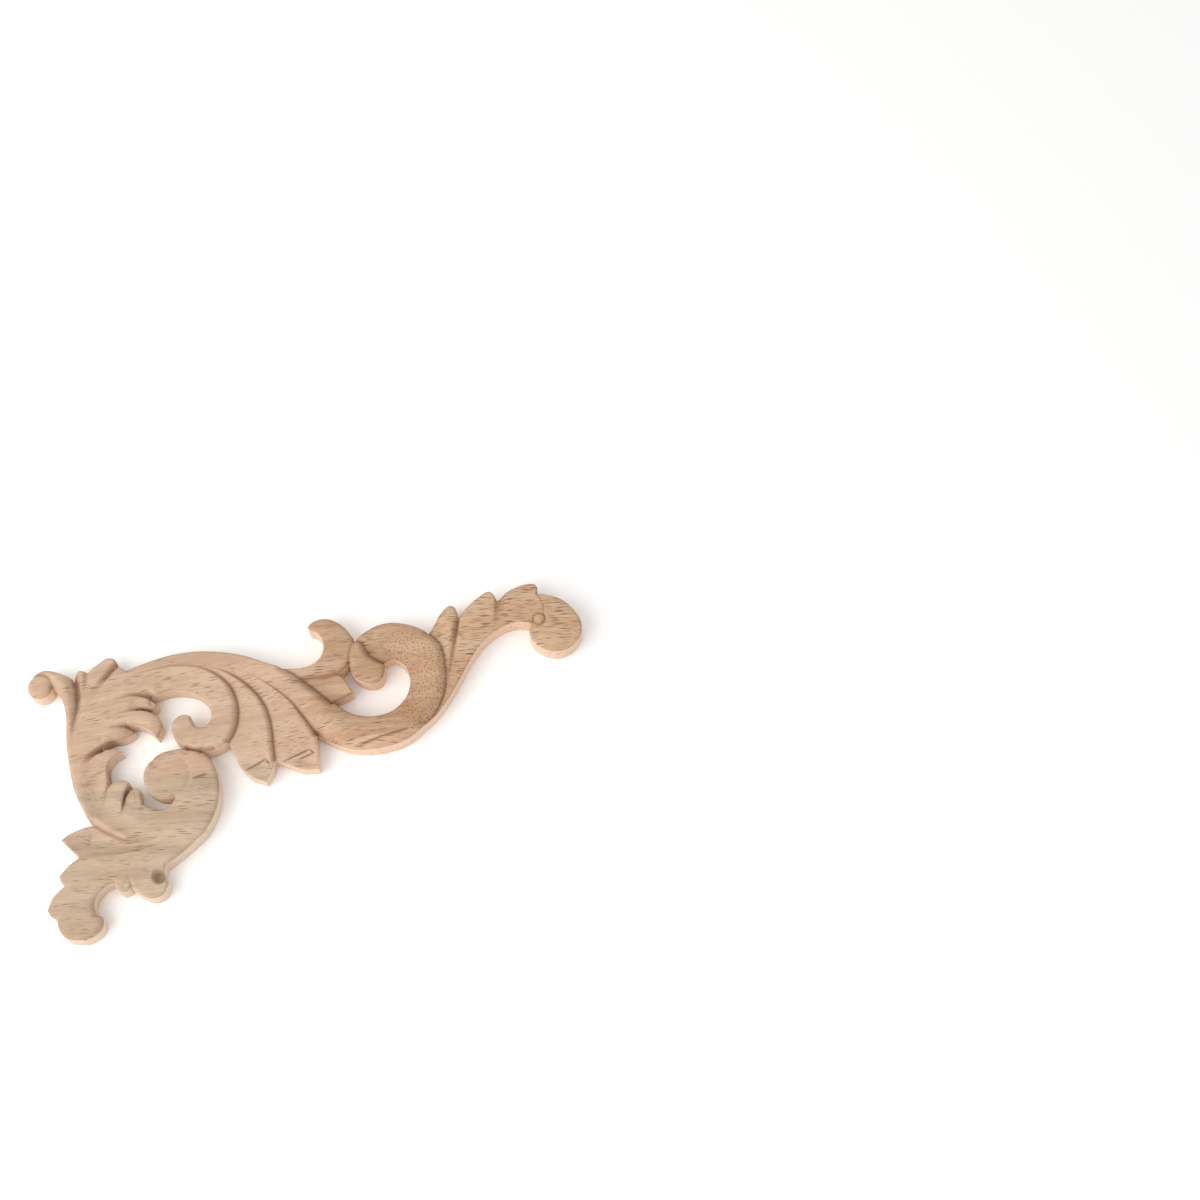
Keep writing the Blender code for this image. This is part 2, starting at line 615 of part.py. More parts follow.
def neighbours(triangles):
    """Each edge of the triangulation, as a pair of points, with the triangles on it."""
    sides = {}
    for index, triangle in enumerate(triangles):
        for a, b in ((0, 1), (1, 2), (2, 0)):
            key = (min(triangle[a], triangle[b]), max(triangle[a], triangle[b]))
            sides.setdefault(key, []).append(index)
    return sides


def areas(verts, triangles):
    """The area of each triangle, above zero where it is anticlockwise."""
    a, b, c = (verts[triangles[:, k]] for k in range(3))
    return 0.5 * ((b[:, 0] - a[:, 0]) * (c[:, 1] - a[:, 1]) - (b[:, 1] - a[:, 1]) * (c[:, 0] - a[:, 0]))


def grow_regions(triangles, sides, joined):
    """Number the regions of triangles, where joined(edge, a, b) says whether a and b are one region."""
    around = [[] for _ in triangles]
    for edge, pair in sides.items():
        if len(pair) == 2 and joined(edge, *pair):
            around[pair[0]].append(pair[1])
            around[pair[1]].append(pair[0])
    region = np.full(len(triangles), -1)
    count = 0
    for seed in range(len(triangles)):
        if region[seed] >= 0:
            continue
        region[seed] = count
        stack = [seed]
        while stack:
            for other in around[stack.pop()]:
                if region[other] < 0:
                    region[other] = count
                    stack.append(other)
        count += 1
    return region, count


def top_labels(forms):
    """The plan as triangles, each with the number of the form that lies on top there, or -1 outside."""
    points, faces = [], []
    for form in forms:
        outline = form.outline()
        keep = np.linalg.norm(outline - np.roll(outline, 1, axis=0), axis=1) > 1e-3
        outline = outline[keep]
        faces.append(list(range(len(points), len(points) + len(outline))))
        points.extend(outline.tolist())
    verts, triangles, over, _, _ = triangulate(points, [], faces)
    label = np.array([max(owners) if owners else -1 for owners in over])
    sides = neighbours(triangles)
    size = np.abs(areas(verts, triangles))
    while True:
        region, count = grow_regions(triangles, sides, lambda _, a, b: label[a] == label[b])
        total = np.bincount(region, size, count)
        small = np.flatnonzero(total < SMALLEST_REGION)
        if not len(small):
            break
        worst = small[total[small].argmin()]
        shared = {}
        for (a, b), pair in sides.items():
            if len(pair) == 2 and (region[pair[0]] == worst) != (region[pair[1]] == worst):
                other = pair[1] if region[pair[0]] == worst else pair[0]
                length = float(np.linalg.norm(verts[a] - verts[b]))
                shared[label[other]] = shared.get(label[other], 0.0) + length
        label[region == worst] = max(shared, key=shared.get)
    return verts, triangles, label, sides


def border_chains(verts, label, sides):
    """The lines between regions of the plan, cut where three meet and at corners."""
    links = {}
    for (a, b), pair in sides.items():
        labels = [label[index] for index in pair] + [-1] * (2 - len(pair))
        if labels[0] != labels[1]:
            links.setdefault(a, []).append(b)
            links.setdefault(b, []).append(a)
    fixed = {v for v, others in links.items() if len(others) != 2}
    for v, others in links.items():
        if v in fixed:
            continue
        came, goes = verts[v] - verts[others[0]], verts[others[1]] - verts[v]
        turn = abs(math.atan2(came[0] * goes[1] - came[1] * goes[0], came @ goes))
        if turn > CORNER_TURN:
            fixed.add(v)
    chains, used = [], set()
    for seed in sorted(fixed) + sorted(links):
        for first in links[seed]:
            if (seed, first) in used:
                continue
            chain = [seed, first]
            used.update({(seed, first), (first, seed)})
            while chain[-1] not in fixed and chain[-1] != seed:
                following = next(v for v in links[chain[-1]] if v != chain[-2])
                used.update({(chain[-1], following), (following, chain[-1])})
                chain.append(following)
            chains.append(verts[chain])
    return chains


def plan_points(chains, forms):
    """The points of the plan mesh and its fixed edges: even borders, rows beside them and a grid."""
    points, edges, index = [], [], {}

    def add(point):
        key = (round(point[0], 3), round(point[1], 3))
        if key not in index:
            index[key] = len(points)
            points.append(tuple(point))
        return index[key]

    segments, rows = [], []
    for chain in chains:
        line = spaced(chain, BORDER_STEP)
        numbers = [add(point) for point in line]
        edges.extend((a, b) for a, b in zip(numbers, numbers[1:]) if a != b)
        segments.append(np.hstack([line[:-1], line[1:]]))
        middles = (line[:-1] + line[1:]) / 2
        along = (line[1:] - line[:-1]) / (np.linalg.norm(line[1:] - line[:-1], axis=1, keepdims=True) + 1e-9)
        across = np.column_stack([-along[:, 1], along[:, 0]])
        rows.extend([middles + ROW_INSET * across, middles - ROW_INSET * across])
    segments = np.vstack(segments)
    low, high = segments[:, :2].min(0), segments[:, :2].max(0)
    height = INNER_STEP * math.sqrt(3) / 2
    grid = [
        (low[0] + (column + row % 2 / 2) * INNER_STEP, low[1] + row * height)
        for row in range(math.ceil((high[1] - low[1]) / height))
        for column in range(math.ceil((high[0] - low[0]) / INNER_STEP))
    ]
    groups = (
        (np.vstack(rows), 0.9 * ROW_INSET, 0.6 * BORDER_STEP),
        (np.array(grid), 0.62 * INNER_STEP, 0.6 * INNER_STEP),
    )
    for group, clear, apart in groups:
        in_form = np.zeros(len(group), bool)
        for form in forms:
            in_form |= inside(group, form.outline())
        group = group[in_form]
        group = group[segment_distance(group, segments) > clear]
        for point in group:
            if ((np.array(points) - point) ** 2).sum(1).min() > apart ** 2:
                add(point)
    return np.array(points), edges


def segment_distance(points, segments):
    """Each point's distance to the nearest of the segments."""
    distance = np.empty(len(points))
    start, run = segments[:, :2], segments[:, 2:] - segments[:, :2]
    square_length = (run ** 2).sum(1) + 1e-12
    for first in range(0, len(points), BATCH):
        gap = points[first:first + BATCH, None, :] - start[None]
        share = np.clip((gap * run[None]).sum(2) / square_length[None], 0.0, 1.0)
        away = ((gap - share[:, :, None] * run[None]) ** 2).sum(2).min(1)
        distance[first:first + BATCH] = np.sqrt(away)
    return distance


def plan_mesh(forms):
    """The plan mesh: points, triangles of the carving, and each triangle's top form."""
    verts, _, label, sides = top_labels(forms)
    chains = border_chains(verts, label, sides)
    points, edges = plan_points(chains, forms)
    verts, triangles, _, out_edges, origins = triangulate(points, edges, [])
    walls = {(min(edge), max(edge)) for edge, origin in zip(out_edges, origins) if origin}
    sides = neighbours(triangles)
    region, count = grow_regions(triangles, sides, lambda edge, a, b: edge not in walls)
    size = np.abs(areas(verts, triangles))
    middles = verts[triangles].mean(1)
    top = np.full(len(triangles), -1)
    for number, form in enumerate(forms):
        top[inside(middles, form.outline())] = number
    label = np.empty(count, int)
    for number in range(count):
        mine = np.flatnonzero(region == number)
        votes = np.bincount(top[mine] + 1, size[mine])
        label[number] = votes.argmax() - 1
    label = label[region]
    kept = label >= 0
    return verts, triangles[kept], label[kept]


def top_heights(forms, verts, triangles, label):
    """The carved height at each point of the plan mesh."""
    count = len(verts)
    owners = [set() for _ in range(count)]
    for triangle, owner in zip(triangles, label):
        for v in triangle:
            owners[v].add(int(owner))
    sides = neighbours(triangles)
    free_edges = np.array([edge for edge, pair in sides.items() if len(pair) == 1])
    inner_edges = [(edge, pair) for edge, pair in sides.items() if len(pair) == 2]
    crease_edges = np.array([edge for edge, pair in inner_edges if label[pair[0]] != label[pair[1]]])
    to_free = segment_distance(verts, np.hstack([verts[free_edges[:, 0]], verts[free_edges[:, 1]]]))
    layers = np.full((len(forms), count), np.nan)
    fades = np.ones((len(forms), count))
    current = np.full(count, np.nan)
    for number, form in enumerate(forms):
        outline = form.outline()
        near = inside(verts, outline)
        close = np.flatnonzero(~near)
        near[close[nearest(verts[close], outline, closed=True)[0] < NEAR]] = True
        owned = np.array([number in owner for owner in owners])
        near = np.flatnonzero(near | owned)
        height, across = form_height(form, verts[near])
        inner, outer = form.roll, form.outer_roll or form.roll
        turn = rise((across - ROLL_TURN[0]) / (ROLL_TURN[1] - ROLL_TURN[0]))
        width, depth = (a + (b - a) * turn for a, b in zip(inner, outer))
        share = np.clip(1 - to_free[near] / width, 0.0, 1.0)
        height = height - depth * (1 - np.sqrt(1 - share ** 2))
        if form.fade:
            root = np.array([form.left[0], form.right[0]])
            weight = rise(nearest(verts[near], root)[0] / form.fade)
            fades[number, near] = weight
            under = np.where(np.isnan(current[near]), height, current[near])
            height = under + (height - under) * weight
        layers[number, near] = height
        current[near] = height

    height = np.empty(count)
    on_crease = np.zeros(count, bool)
    on_crease[crease_edges.ravel()] = True
    for v, owner in enumerate(owners):
        if not owner:
            height[v] = 0.0
            continue
        found = {number: layers[number, v] for number in owner}
        top = max(owner)
        height[v] = min(found.values())
        if on_crease[v]:
            height[v] -= forms[top].groove * fades[top, v]

    for number, form in enumerate(forms):
        mine = np.array([v for v in range(count) if owners[v] == {number}])
        lines = np.array([(a, b) for a, b in crease_edges if number in owners[a] and number in owners[b]])
        if not len(mine) or not len(lines):
            continue
        ends = np.unique(lines)
        gap = np.linalg.norm(verts[mine][:, None] - verts[ends][None], axis=2)
        distance = segment_distance(verts[mine], np.hstack([verts[lines[:, 0]], verts[lines[:, 1]]]))
        weight = 1 / (gap ** 3 + 1e-6)
        floor = (weight * height[ends][None]).sum(1) / weight.sum(1)
        drop = height[mine] - floor
        width = form.step * np.clip(drop / FULL_STEP, 0.3, 1.2)
        height[mine] = floor + drop * chamfer(distance / width)
    for gouge in gouges():
        height -= gouge.depth_at(verts)
    x, y, radius = PIT
    away = np.hypot(verts[:, 0] - x, verts[:, 1] - y)
    height -= PIT_DEPTH * rise(PIT_MOUTH - away / radius)
    return height


def solid(name, forms):
    """The closed solid: the carved top, the upright edges and the flat sawn back."""
    verts, triangles, label = plan_mesh(forms)
    height = top_heights(forms, verts, triangles, label)
    turned = areas(verts, triangles) < 0
    triangles[turned] = triangles[turned][:, ::-1]
    used = np.unique(triangles)
    renumber = np.full(len(verts), -1)
    renumber[used] = np.arange(len(used))
    triangles, verts, height = renumber[triangles], verts[used], height[used]
    rim = [(a, b) for t in triangles.tolist() for a, b in ((t[0], t[1]), (t[1], t[2]), (t[2], t[0]))]
    twice = {(b, a) for a, b in rim}
    rim = [edge for edge in rim if edge not in twice]

    outline = sorted({v for edge in rim for v in edge})
    foot = {v: len(verts) + index for index, v in enumerate(outline)}
    floor_points = verts[outline]
    floor_number = {v: index for index, v in enumerate(outline)}
    floor_edges = [(floor_number[a], floor_number[b]) for a, b in rim]
    _, floor, _, _, _ = triangulate(floor_points, floor_edges, [])
    middles = floor_points[floor].mean(1)
    floor = floor[winding_inside(middles, verts[np.array(rim)])]
    wrong = areas(floor_points, floor) > 0
    floor[wrong] = floor[wrong][:, ::-1]

    points = [(x * MM, y * MM, z * MM) for (x, y), z in zip(verts, height)]
    points += [(x * MM, y * MM, 0.0) for x, y in floor_points]
    faces = triangles.tolist()
    faces += [(b, a, foot[a]) for a, b in rim]
    faces += [(b, foot[a], foot[b]) for a, b in rim]
    faces += [tuple(foot[outline[v]] for v in face) for face in floor]
    mesh = bpy.data.meshes.new(name)
    mesh.from_pydata(points, [], faces)
    mesh.validate()
    mesh.update()
    return mesh


def winding_inside(points, segments):
    """Whether each point is inside the closed loops that the segments make."""
    x1, y1 = segments[:, 0, 0], segments[:, 0, 1]
    x2, y2 = segments[:, 1, 0], segments[:, 1, 1]
    x, y = points[:, 0][:, None], points[:, 1][:, None]
    crosses = (y1 > y) != (y2 > y)
    with np.errstate(divide="ignore", invalid="ignore"):
        right = x < (x2 - x1) * (y - y1) / (y2 - y1) + x1
    return (crosses & right).sum(1) % 2 == 1


def wood():
    """Bare sanded wood."""
    material = bpy.data.materials.new("bare_wood")
    material.use_nodes = True
    shader = material.node_tree.nodes["Principled BSDF"]
    shader.inputs["Base Color"].default_value = WOOD_COLOUR
    shader.inputs["Roughness"].default_value = WOOD_ROUGHNESS
    shader.inputs["Metallic"].default_value = 0.0
    return material


def main():
    """Clear the scene and build the applique."""
    for old in list(bpy.data.objects):
        bpy.data.objects.remove(old, do_unlink=True)
    mesh = solid("applique", all_forms())
    mesh.materials.append(wood())
    applique = bpy.data.objects.new("applique", mesh)
    bpy.context.scene.collection.objects.link(applique)
    mesh.shade_smooth()
    mesh.set_sharp_from_angle(angle=math.radians(35))


main()
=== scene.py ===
"""Looks of a carved wood applique: the fine carving, bare rubberwood, a pale floor and soft light.

The carving is drawn as forms, such as leaves, scrolls and eyes, that lie over each other like shingles.
Each form has two sides, drawn from its root to its tip, and its heights across at a few stations along it.
All drawing sizes are in millimetres in the row frame, with the flat back at z = 0.
"""

import logging
import math
from collections.abc import Callable
from dataclasses import dataclass, field, fields
from enum import Enum

import bpy
import numpy as np
from bpy.types import NodeSocket, NodeTree
from mathutils import Matrix, Vector, noise
from mathutils.geometry import delaunay_2d_cdt
from mathutils.kdtree import KDTree

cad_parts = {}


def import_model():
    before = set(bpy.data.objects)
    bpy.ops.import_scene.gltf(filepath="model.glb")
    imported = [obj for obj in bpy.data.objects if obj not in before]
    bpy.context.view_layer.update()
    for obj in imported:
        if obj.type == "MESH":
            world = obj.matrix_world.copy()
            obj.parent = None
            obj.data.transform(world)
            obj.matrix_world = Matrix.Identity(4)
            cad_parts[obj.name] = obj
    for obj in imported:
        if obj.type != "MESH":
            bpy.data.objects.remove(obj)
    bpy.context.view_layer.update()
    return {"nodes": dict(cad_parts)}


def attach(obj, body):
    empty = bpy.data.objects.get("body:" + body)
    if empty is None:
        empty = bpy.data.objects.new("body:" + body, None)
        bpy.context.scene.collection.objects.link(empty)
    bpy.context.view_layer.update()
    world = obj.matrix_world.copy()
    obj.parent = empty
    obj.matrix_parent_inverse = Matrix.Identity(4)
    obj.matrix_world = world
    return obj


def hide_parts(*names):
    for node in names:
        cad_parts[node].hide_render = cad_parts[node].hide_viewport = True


MM = 0.001

# The crown of the long scroll, over the flat back.
CROWN = 11.5

# The width and the depth of the rounding along a free edge, and along the long scroll's.
EDGE_ROLL = (0.8, 0.6)
SCROLL_ROLL = (3.3, 2.3)

# How wide the cut beside a form is, how deep the line in it is, and how finely lines are drawn.
SHINGLE_STEP = 1.3
GROOVE = 0.3
DRAW_STEP = 0.8

# Points are reckoned in batches, which keeps the memory low.
BATCH = 4000

# Each station's height is the mean of these places beside it, which softens the bends between stations.
SOFTEN = (-0.03, -0.01, 0.01, 0.03)

# A form's edge rounding turns from its left one to its right one over this part of its width.
TURN_START, TURN_WIDTH = 0.3, 0.4

# A length that is as good as none, and the distance within which points are one, in millimetres.
TINY = 1e-9
ONE_POINT = 1e-4

# The numbers of a Mix node's two colour inputs and of its colour output.
MIX_BELOW, MIX_ABOVE, MIX_COLOUR = 6, 7, 2

log = logging.getLogger("applique")


class Surface(Enum):
    """Where on the piece a point of the mesh is, as the wood's colour reads it."""

    CARVED = 0.0
    SAWN = 1.0


@dataclass(frozen=True, eq=False)
class Form:
    """One carved form.

    Args:
        left: Its left side from root to tip, or a dome's closed line.
        right: Its right side from root to tip, or None for a dome.
        heights: (station, left, middle, right) rows, or (rim, crown, reach) for a dome.
        step: How wide the cut is where the form stands over the one beside it.
        roll: The rounding of its free edges, as (width, depth).
        outer_roll: The rounding on its right side, if it differs.
        fade: The distance from its root over which it rises out of what it grows from.
        groove: How deep the line is cut along its border.
    """

    left: np.ndarray
    right: np.ndarray | None
    heights: tuple
    step: float = SHINGLE_STEP
    roll: tuple[float, float] = EDGE_ROLL
    outer_roll: tuple[float, float] | None = None
    fade: float = 0.0
    groove: float = GROOVE

    def outline(self) -> np.ndarray:
        """Join the two sides to a closed outline.

        Returns:
            Its points, anticlockwise.
        """
        line = self.left if self.right is None else np.vstack([self.left, self.right[::-1]])
        turned = np.roll(line, -1, axis=0)
        signed = (line[:, 0] * turned[:, 1] - line[:, 1] * turned[:, 0]).sum()
        return line if signed > 0 else line[::-1]

    def height_at(self, points: np.ndarray) -> tuple[np.ndarray, np.ndarray]:
        """The form's own height.

        Args:
            points: The points, as rows of x and y.

        Returns:
            The height at each point, and how far across from the form's left side the point is.
        """
        if self.right is None:
            rim, crown, reach = self.heights
            depth, _, _ = nearest(points, self.left, closed=True)
            depth = np.where(inside(points, self.left), depth, 0.0)
            share = np.clip(depth / reach, 0.0, 1.0)
            return crown - (crown - rim) * (1 - share) ** 2, np.zeros(len(points))
        from_left, along_left, _ = nearest(points, self.left)
        from_right, along_right, _ = nearest(points, self.right)
        across = from_left / (from_left + from_right + TINY)
        along = (1 - across) * along_left + across * along_right
        table = np.array(self.heights, float)
        places = [np.clip(along + shift, 0.0, 1.0) for shift in SOFTEN]
        left, middle, right = (
            np.mean([np.interp(place, table[:, 0], table[:, column]) for place in places], axis=0)
            for column in (1, 2, 3)
        )
        height = (
            left * (1 - across) * (1 - 2 * across)
            + middle * 4 * across * (1 - across)
            + right * across * (2 * across - 1)
        )
        return height, across

    def rounding(self, across: np.ndarray) -> tuple[np.ndarray, np.ndarray]:
        """The rounding of the free edge.

        Args:
            across: How far across from its left side each point is.

        Returns:
            The width and the depth of the rounding at each point.
        """
        turn = rise((across - TURN_START) / TURN_WIDTH)
        width, depth = (a + (b - a) * turn for a, b in zip(self.roll, self.outer_roll or self.roll))
        return width, depth

    def risen(self, points: np.ndarray) -> np.ndarray:
        """How far the form has risen out of what it grows from.

        Args:
            points: The points, as rows of x and y.

        Returns:
            A share for each point, from 0 at the root to 1.
        """
        if not self.fade:
            return np.ones(len(points))
        root = np.array([self.left[0], self.right[0]])
        return rise(nearest(points, root)[0] / self.fade)


def smooth(points: list) -> np.ndarray:
    """Draw a centripetal Catmull-Rom line, with a point every DRAW_STEP or less.

    Args:
        points: The points that it goes through.

    Returns:
        The line's points.
    """
    points = np.asarray(points, float)
    if len(points) < 3:
        return spaced(points, DRAW_STEP)
    ends = np.vstack([2 * points[0] - points[1], points, 2 * points[-1] - points[-2]])
    line = [points[0]]
    for p0, p1, p2, p3 in zip(ends[:-3], ends[1:-2], ends[2:-1], ends[3:]):
        t1 = math.sqrt(np.linalg.norm(p1 - p0)) + TINY
        t2 = t1 + math.sqrt(np.linalg.norm(p2 - p1)) + TINY
        t3 = t2 + math.sqrt(np.linalg.norm(p3 - p2)) + TINY
        count = max(2, math.ceil(np.linalg.norm(p2 - p1) / DRAW_STEP))
        for t in np.linspace(t1, t2, count + 1)[1:]:
            a1 = (t1 - t) / t1 * p0 + t / t1 * p1
            a2 = (t2 - t) / (t2 - t1) * p1 + (t - t1) / (t2 - t1) * p2
            a3 = (t3 - t) / (t3 - t2) * p2 + (t - t2) / (t3 - t2) * p3
            b1 = (t2 - t) / t2 * a1 + t / t2 * a2
            b2 = (t3 - t) / (t3 - t1) * a2 + (t - t1) / (t3 - t1) * a3
            line.append((t2 - t) / (t2 - t1) * b1 + (t - t1) / (t2 - t1) * b2)
    return np.array(line)


def spaced(line: np.ndarray, step: float) -> np.ndarray:
    """Space a line's points evenly, with its ends kept.

    Args:
        line: The line.
        step: The distance between points, which is rounded to fit.

    Returns:
        The new points.
    """
    along = np.concatenate([[0.0], np.cumsum(np.linalg.norm(np.diff(line, axis=0), axis=1))])
    count = max(1, round(along[-1] / step))
    where = np.linspace(0.0, along[-1], count + 1)
    return np.column_stack([np.interp(where, along, line[:, axis]) for axis in (0, 1)])


def path(*spans: list) -> np.ndarray:
    """Join smooth spans at corners.

    Args:
        spans: The points of each span. Each starts where the one before it ends.

    Returns:
        The line's points.
    """
    line = smooth(spans[0])
    for span in spans[1:]:
        line = np.vstack([line, smooth([tuple(line[-1]), *span])[1:]])
    return line


def ring(circle: tuple[float, float, float]) -> np.ndarray:
    """Draw a circle.

    Args:
        circle: Its centre x, its centre y and its radius.

    Returns:
        The points of the closed line.
    """
    x, y, radius = circle
    count = math.ceil(math.tau * radius / DRAW_STEP)
    angles = np.arange(count) * math.tau / count
    return np.column_stack([x + radius * np.cos(angles), y + radius * np.sin(angles)])


def nearest(points: np.ndarray, line: np.ndarray, closed: bool = False) -> tuple[np.ndarray, ...]:
    """Find where each point is beside a line.

    Args:
        points: The points, as rows of x and y.
        line: The line's points.
        closed: Whether its last point joins its first.

    Returns:
        The distance, how far along the line, from 0 to 1, the nearest place is, and above zero on its left.
    """
    if closed:
        line = np.vstack([line, line[:1]])
    start = line[:-1]
    run = line[1:] - start
    length = np.linalg.norm(run, axis=1)
    keep = length > TINY
    start, run, length = start[keep], run[keep], length[keep]
    before = np.concatenate([[0.0], np.cumsum(length)])
    distance, along, side = (np.empty(len(points)) for _ in range(3))
    for first in range(0, len(points), BATCH):
        some = points[first:first + BATCH]
        gap = some[:, None, :] - start[None]
        share = np.clip((gap * run[None]).sum(2) / (length ** 2)[None], 0.0, 1.0)
        square = ((gap - share[:, :, None] * run[None]) ** 2).sum(2)
        best = square.argmin(1)
        rows = np.arange(len(some))
        ahead, aside = run[best], gap[rows, best]
        distance[first:first + BATCH] = np.sqrt(square[rows, best])
        along[first:first + BATCH] = (before[best] + share[rows, best] * length[best]) / before[-1]
        side[first:first + BATCH] = ahead[:, 0] * aside[:, 1] - ahead[:, 1] * aside[:, 0]
    return distance, along, side


def inside(points: np.ndarray, outline: np.ndarray) -> np.ndarray:
    """Find the points that are inside an outline.

    Args:
        points: The points, as rows of x and y.
        outline: The closed outline's points.

    Returns:
        Whether each point is inside.
    """
    found = np.zeros(len(points), bool)
    lowest, highest = outline.min(0), outline.max(0)
    near = np.flatnonzero(((points >= lowest) & (points <= highest)).all(1))
    loop = np.stack([outline, np.roll(outline, -1, axis=0)], axis=1)
    for first in range(0, len(near), BATCH):
        some = near[first:first + BATCH]
        found[some] = odd_crossings(points[some], loop)
    return found


def odd_crossings(points: np.ndarray, segments: np.ndarray) -> np.ndarray:
    """Find the points from which a line to the right crosses an odd number of segments.

    Args:
        points: The points, as rows of x and y.
        segments: The segments, as pairs of points.

    Returns:
        Whether that is so for each point.
    """
    x1, y1 = segments[:, 0, 0], segments[:, 0, 1]
    x2, y2 = segments[:, 1, 0], segments[:, 1, 1]
    x, y = points[:, 0][:, None], points[:, 1][:, None]
    crosses = (y1 > y) != (y2 > y)
    with np.errstate(divide="ignore", invalid="ignore"):
        right = x < (x2 - x1) * (y - y1) / (y2 - y1) + x1
    return (crosses & right).sum(1) % 2 == 1


def rise(share: np.ndarray) -> np.ndarray:
    """A smooth step from 0 to 1."""
    share = np.clip(share, 0.0, 1.0)
    return share * share * (3 - 2 * share)


def chamfer(share: np.ndarray) -> np.ndarray:
    """A slope from 0 to 1, straight at its foot and rounded over at its upper end."""
    share = np.clip(share, 0.0, 1.5)
    return np.where(share < 0.5, share, 1 - 0.5 * (1.5 - share) ** 2)


def signed_areas(verts: np.ndarray, triangles: np.ndarray) -> np.ndarray:
    """Each triangle's area, above zero where it runs anticlockwise."""
    a, b, c = (verts[triangles[:, k]] for k in range(3))
    return 0.5 * ((b[:, 0] - a[:, 0]) * (c[:, 1] - a[:, 1]) - (b[:, 1] - a[:, 1]) * (c[:, 0] - a[:, 0]))


def triangulate(points: np.ndarray, edges: list, faces: list) -> tuple:
    """Make a constrained triangulation.

    Args:
        points: The points.
        edges: The edges that it has to have, as pairs of numbers.
        faces: Closed outlines, each as the numbers of its points.

    Returns:
        The points, the triangles, the given faces over each triangle, the edges, and the given edges under
        each edge.
    """
    result = delaunay_2d_cdt([Vector(p) for p in points], edges, faces, 0, ONE_POINT, True)
    verts = np.array([tuple(v) for v in result[0]])
    return verts, np.array(result[2]), result[5], result[1], result[4]


def neighbours(triangles: np.ndarray) -> dict:
    """Find which triangles share an edge.

    Args:
        triangles: The triangles, as the numbers of their points.

    Returns:
        Each edge, as a pair of numbers, with the triangles on it.
    """
    sides: dict = {}
    for index, (a, b, c) in enumerate(triangles.tolist()):
        for edge in ((a, b), (b, c), (c, a)):
            sides.setdefault(edge if edge[0] < edge[1] else edge[::-1], []).append(index)
    return sides


def grow_regions(
    count: int, sides: dict, joined: Callable[[tuple[int, int], int, int], bool]
) -> tuple[np.ndarray, int]:
    """Number the connected regions of triangles.

    Args:
        count: How many triangles there are.
        sides: Each edge with the triangles on it.
        joined: Says of an edge and its two triangles whether they are in one region.

    Returns:
        Each triangle's region, and how many regions there are.
    """
    around: list = [[] for _ in range(count)]
    for edge, pair in sides.items():
        if len(pair) == 2 and joined(edge, *pair):
            around[pair[0]].append(pair[1])
            around[pair[1]].append(pair[0])
    region = np.full(count, -1)
    found = 0
    for seed in range(count):
        if region[seed] >= 0:
            continue
        region[seed] = found
        stack = [seed]
        while stack:
            for other in around[stack.pop()]:
                if region[other] < 0:
                    region[other] = found
                    stack.append(other)
        found += 1
    return region, found


class SegmentIndex:
    """Finds how far points are from a set of edges, by way of the edges' nearest end points."""

    def __init__(self, verts: np.ndarray, edges: np.ndarray) -> None:
        """Sort the edges by their end points.

        Args:
            verts: The points.
            edges: The edges, as pairs of numbers.
        """
        self.verts = verts
        self.ends = np.unique(edges)
        self.others: dict = {int(v): [] for v in self.ends}
        for a, b in edges.tolist():
            self.others[a].append(b)
            self.others[b].append(a)
        self.tree = KDTree(len(self.ends))
        for v in self.ends.tolist():
            self.tree.insert((*verts[v], 0.0), v)
        self.tree.balance()

    def distance(self, points: np.ndarray) -> tuple[np.ndarray, np.ndarray]:
        """Find how far points are from the edges.

        Args:
            points: The points, as rows of x and y.

        Returns:
            Each point's distance to the edges, and the edge end that is nearest.
        """
        near = np.array([self.tree.find((x, y, 0.0))[1] for x, y in points.tolist()])
        distance = np.linalg.norm(points - self.verts[near], axis=1)
        most = max(len(others) for others in self.others.values())
        for turn in range(most):
            other = np.array([self.others[v][turn % len(self.others[v])] for v in near.tolist()])
            run = self.verts[other] - self.verts[near]
            gap = points - self.verts[near]
            share = np.clip((gap * run).sum(1) / ((run ** 2).sum(1) + 1e-12), 0.0, 1.0)
            distance = np.minimum(distance, np.linalg.norm(gap - share[:, None] * run, axis=1))
        return distance, near


class FormGroup:
    """A part of the carving. Its fields are its forms, from the lowest up."""

    def forms(self) -> list[Form]:
        """The forms in the order of the fields."""
        return [getattr(self, each.name) for each in fields(self)]


